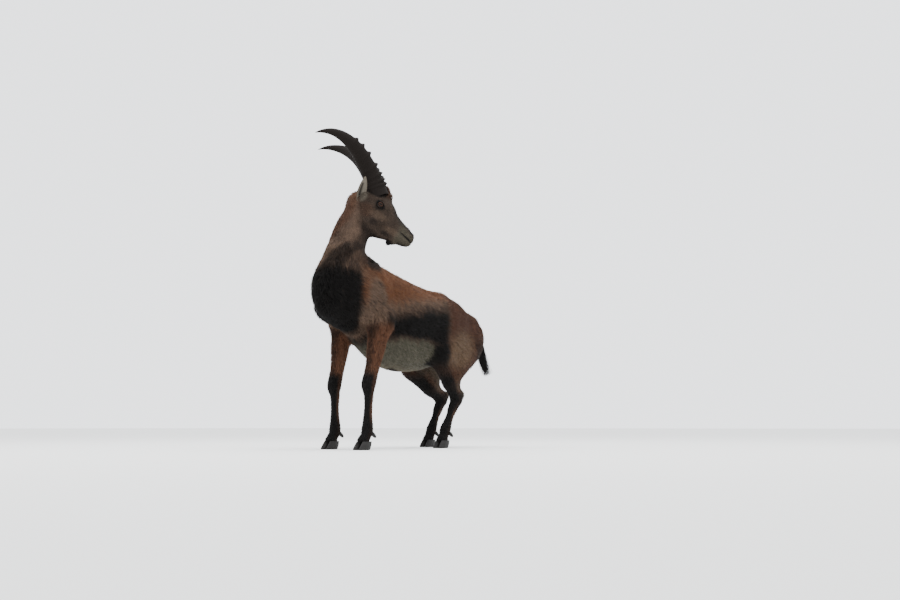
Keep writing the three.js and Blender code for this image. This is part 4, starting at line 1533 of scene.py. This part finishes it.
@dataclass
class Tail:
    """The tail's long black strands."""

    flesh: Flesh
    strands: int = 900
    path: tuple[tuple[float, float, float], ...] = (
        (-480, 0, 606), (-535, 0, 590), (-575, 3, 545), (-600, 6, 490), (-618, 9, 430), (-640, 12, 380),
        (-662, 14, 335),
    )
    spread: float = 10

    def build(self) -> bpy.types.Object:
        """Makes the strands.

        Returns:
            The tail.
        """
        rng = np.random.default_rng(SEED)
        path = catmull(np.array(self.path, float), 6)
        along = unit(np.gradient(path, axis=0))
        across = np.tile(LEFT, (len(path), 1))
        over = np.cross(along, across)
        points, faces, n = [], [], 0
        for _ in range(self.strands):
            start = rng.uniform(0.1, 0.66) * (len(path) - 1)
            end = min(len(path) - 1, start + rng.uniform(8, 26))
            turn, far = rng.uniform(0, 2 * math.pi), math.sqrt(rng.random())
            spread = rng.normal(0, self.spread, 2)
            steps = np.linspace(start, end, 6)
            width = rng.uniform(0.8, 1.7)
            for j, t in enumerate(steps):
                i = int(min(t, len(path) - 1))
                share = t / (len(path) - 1)
                body = 13 + 9 * math.sin(math.pi * min(1, share * 1.1))
                taper = 1 - 0.5 * j / 5
                centre = path[i] + across[i] * (math.cos(turn) * far * body * taper + spread[0] * j / 5)
                centre = centre + over[i] * (math.sin(turn) * far * body * 0.7 * taper + spread[1] * j / 5)
                thick = width * (1 - j / 5) + 0.12
                inward = centre - across[i] * thick * 0.5
                up = over[i] * thick * 0.8
                points += [centre + across[i] * thick, inward + up, inward - up]
            for j in range(5):
                a = n + 3 * j
                faces += [[a, a + 1, a + 4, a + 3], [a + 1, a + 2, a + 5, a + 4], [a + 2, a, a + 3, a + 5]]
            n += 18
        return mesh_object("tail_strands", self.flesh.body.to_row(np.array(points)), faces)


@dataclass
class Stage:
    """Floor, backdrop, lights and camera."""

    body: Body
    azimuth: float = 130
    distance: float = 4.6
    height: float = 0.09
    focal: float = 1080
    tilt: float = 6.71
    aim: float = 395
    reach: float = 60
    sky_colour: tuple[float, float, float, float] = (0.95, 0.97, 1.0, 1)
    sky_strength: float = 2.6

    def floor(self) -> bpy.types.Object:
        """A wide pale floor that runs far back.

        Returns:
            The floor.
        """
        far = self.reach
        points = [(-far, -far, 0), (far, -far, 0), (far, far, 0), (-far, far, 0)]
        floor = mesh_object("floor", np.array(points, float), [[0, 1, 2, 3]])
        floor.data.materials.append(PALE_FLOOR.material())
        return floor

    def lights(self) -> None:
        """An even pale sky and one broad soft light from above."""
        world = bpy.data.worlds.new("sky")
        bpy.context.scene.world = world
        world.use_nodes = True
        background = world.node_tree.nodes["Background"]
        background.inputs["Color"].default_value = self.sky_colour
        background.inputs["Strength"].default_value = self.sky_strength
        for name, energy, size, place in (
            ("soft_top", 200, 3.5, (0.3, 0.6, 4.2)),
            ("soft_side", 40, 2.5, (3.0, -1.6, 2.4)),
        ):
            lamp = bpy.data.lights.new(name, "AREA")
            lamp.energy, lamp.size = energy, size
            thing = bpy.data.objects.new(name, lamp)
            thing.location = place
            thing.rotation_euler = (Vector((0, 0, 0.6)) - Vector(place)).to_track_quat("-Z", "Y").to_euler()
            bpy.context.scene.collection.objects.link(thing)

    def camera(self) -> None:
        """The camera, low in front of the left shoulder."""
        a, tilt = math.radians(self.azimuth), math.radians(self.tilt)
        away = np.array([math.sin(a), -math.cos(a), 0])
        middle = self.body.to_row(np.zeros(3))
        spot = middle + away * self.distance
        spot[2] = self.height
        off = math.atan((self.aim - 450) / self.focal)
        right = np.array([-away[1], away[0], 0])
        look = -away * math.cos(off) - right * math.sin(off)
        look = look * math.cos(tilt) + UP * math.sin(tilt)
        data = bpy.data.cameras.new("camera")
        data.sensor_width = 36
        data.lens = self.focal * 36 / 900
        data.clip_end = 200
        thing = bpy.data.objects.new("camera", data)
        thing.location = spot
        thing.rotation_euler = Vector(look).to_track_quat("-Z", "Y").to_euler()
        bpy.context.scene.collection.objects.link(thing)
        bpy.context.scene.camera = thing


def dress(
    thing: bpy.types.Object, material: bpy.types.Material, nodes: Sequence[str] = ()
) -> None:
    """Gives a piece its material, its slot and its place on the part.

    Args:
        thing: The piece.
        material: Its material.
        nodes: The solids that it stands for.
    """
    thing.data.materials.append(material)
    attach(thing, "root")
    if nodes:
        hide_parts(*nodes)


def main() -> None:
    """Builds the animal and its setting in order."""
    body = Body()
    flesh = Flesh(body, LEGS)
    markings = Markings(flesh)
    skin_finish, hair_finish = SKIN.material(), HAIR.material()
    skins = Skin(flesh, markings).build()
    dress(skins[0], skin_finish, FLESH_NODES)
    dress(skins[1], skin_finish)
    for piece in Coat(flesh, markings, Lie(flesh)).build(skins):
        dress(piece, hair_finish)
    horn_finish, eye_finish = HORN.material(), EYE.material()
    for side in Side:
        name = side.name.lower()
        dress(Horns(body).build(side), horn_finish, [f"horn_{name}"])
        dress(Ears(body).build(side), skin_finish, [f"ear_{name}"])
        dress(Eyes(body).build(side), eye_finish, [f"eye_{name}"])
    dress(Tail(flesh).build(), TAIL_HAIR.material(), ["tail"])
    hoof_finish = HOOF.material()
    for name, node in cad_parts.items():
        if name.startswith(("hoof", "dewclaw")):
            node.data.materials.clear()
            node.data.materials.append(hoof_finish)
    stage = Stage(body)
    stage.floor()
    stage.lights()
    stage.camera()


if __name__ == "__main__":
    main()
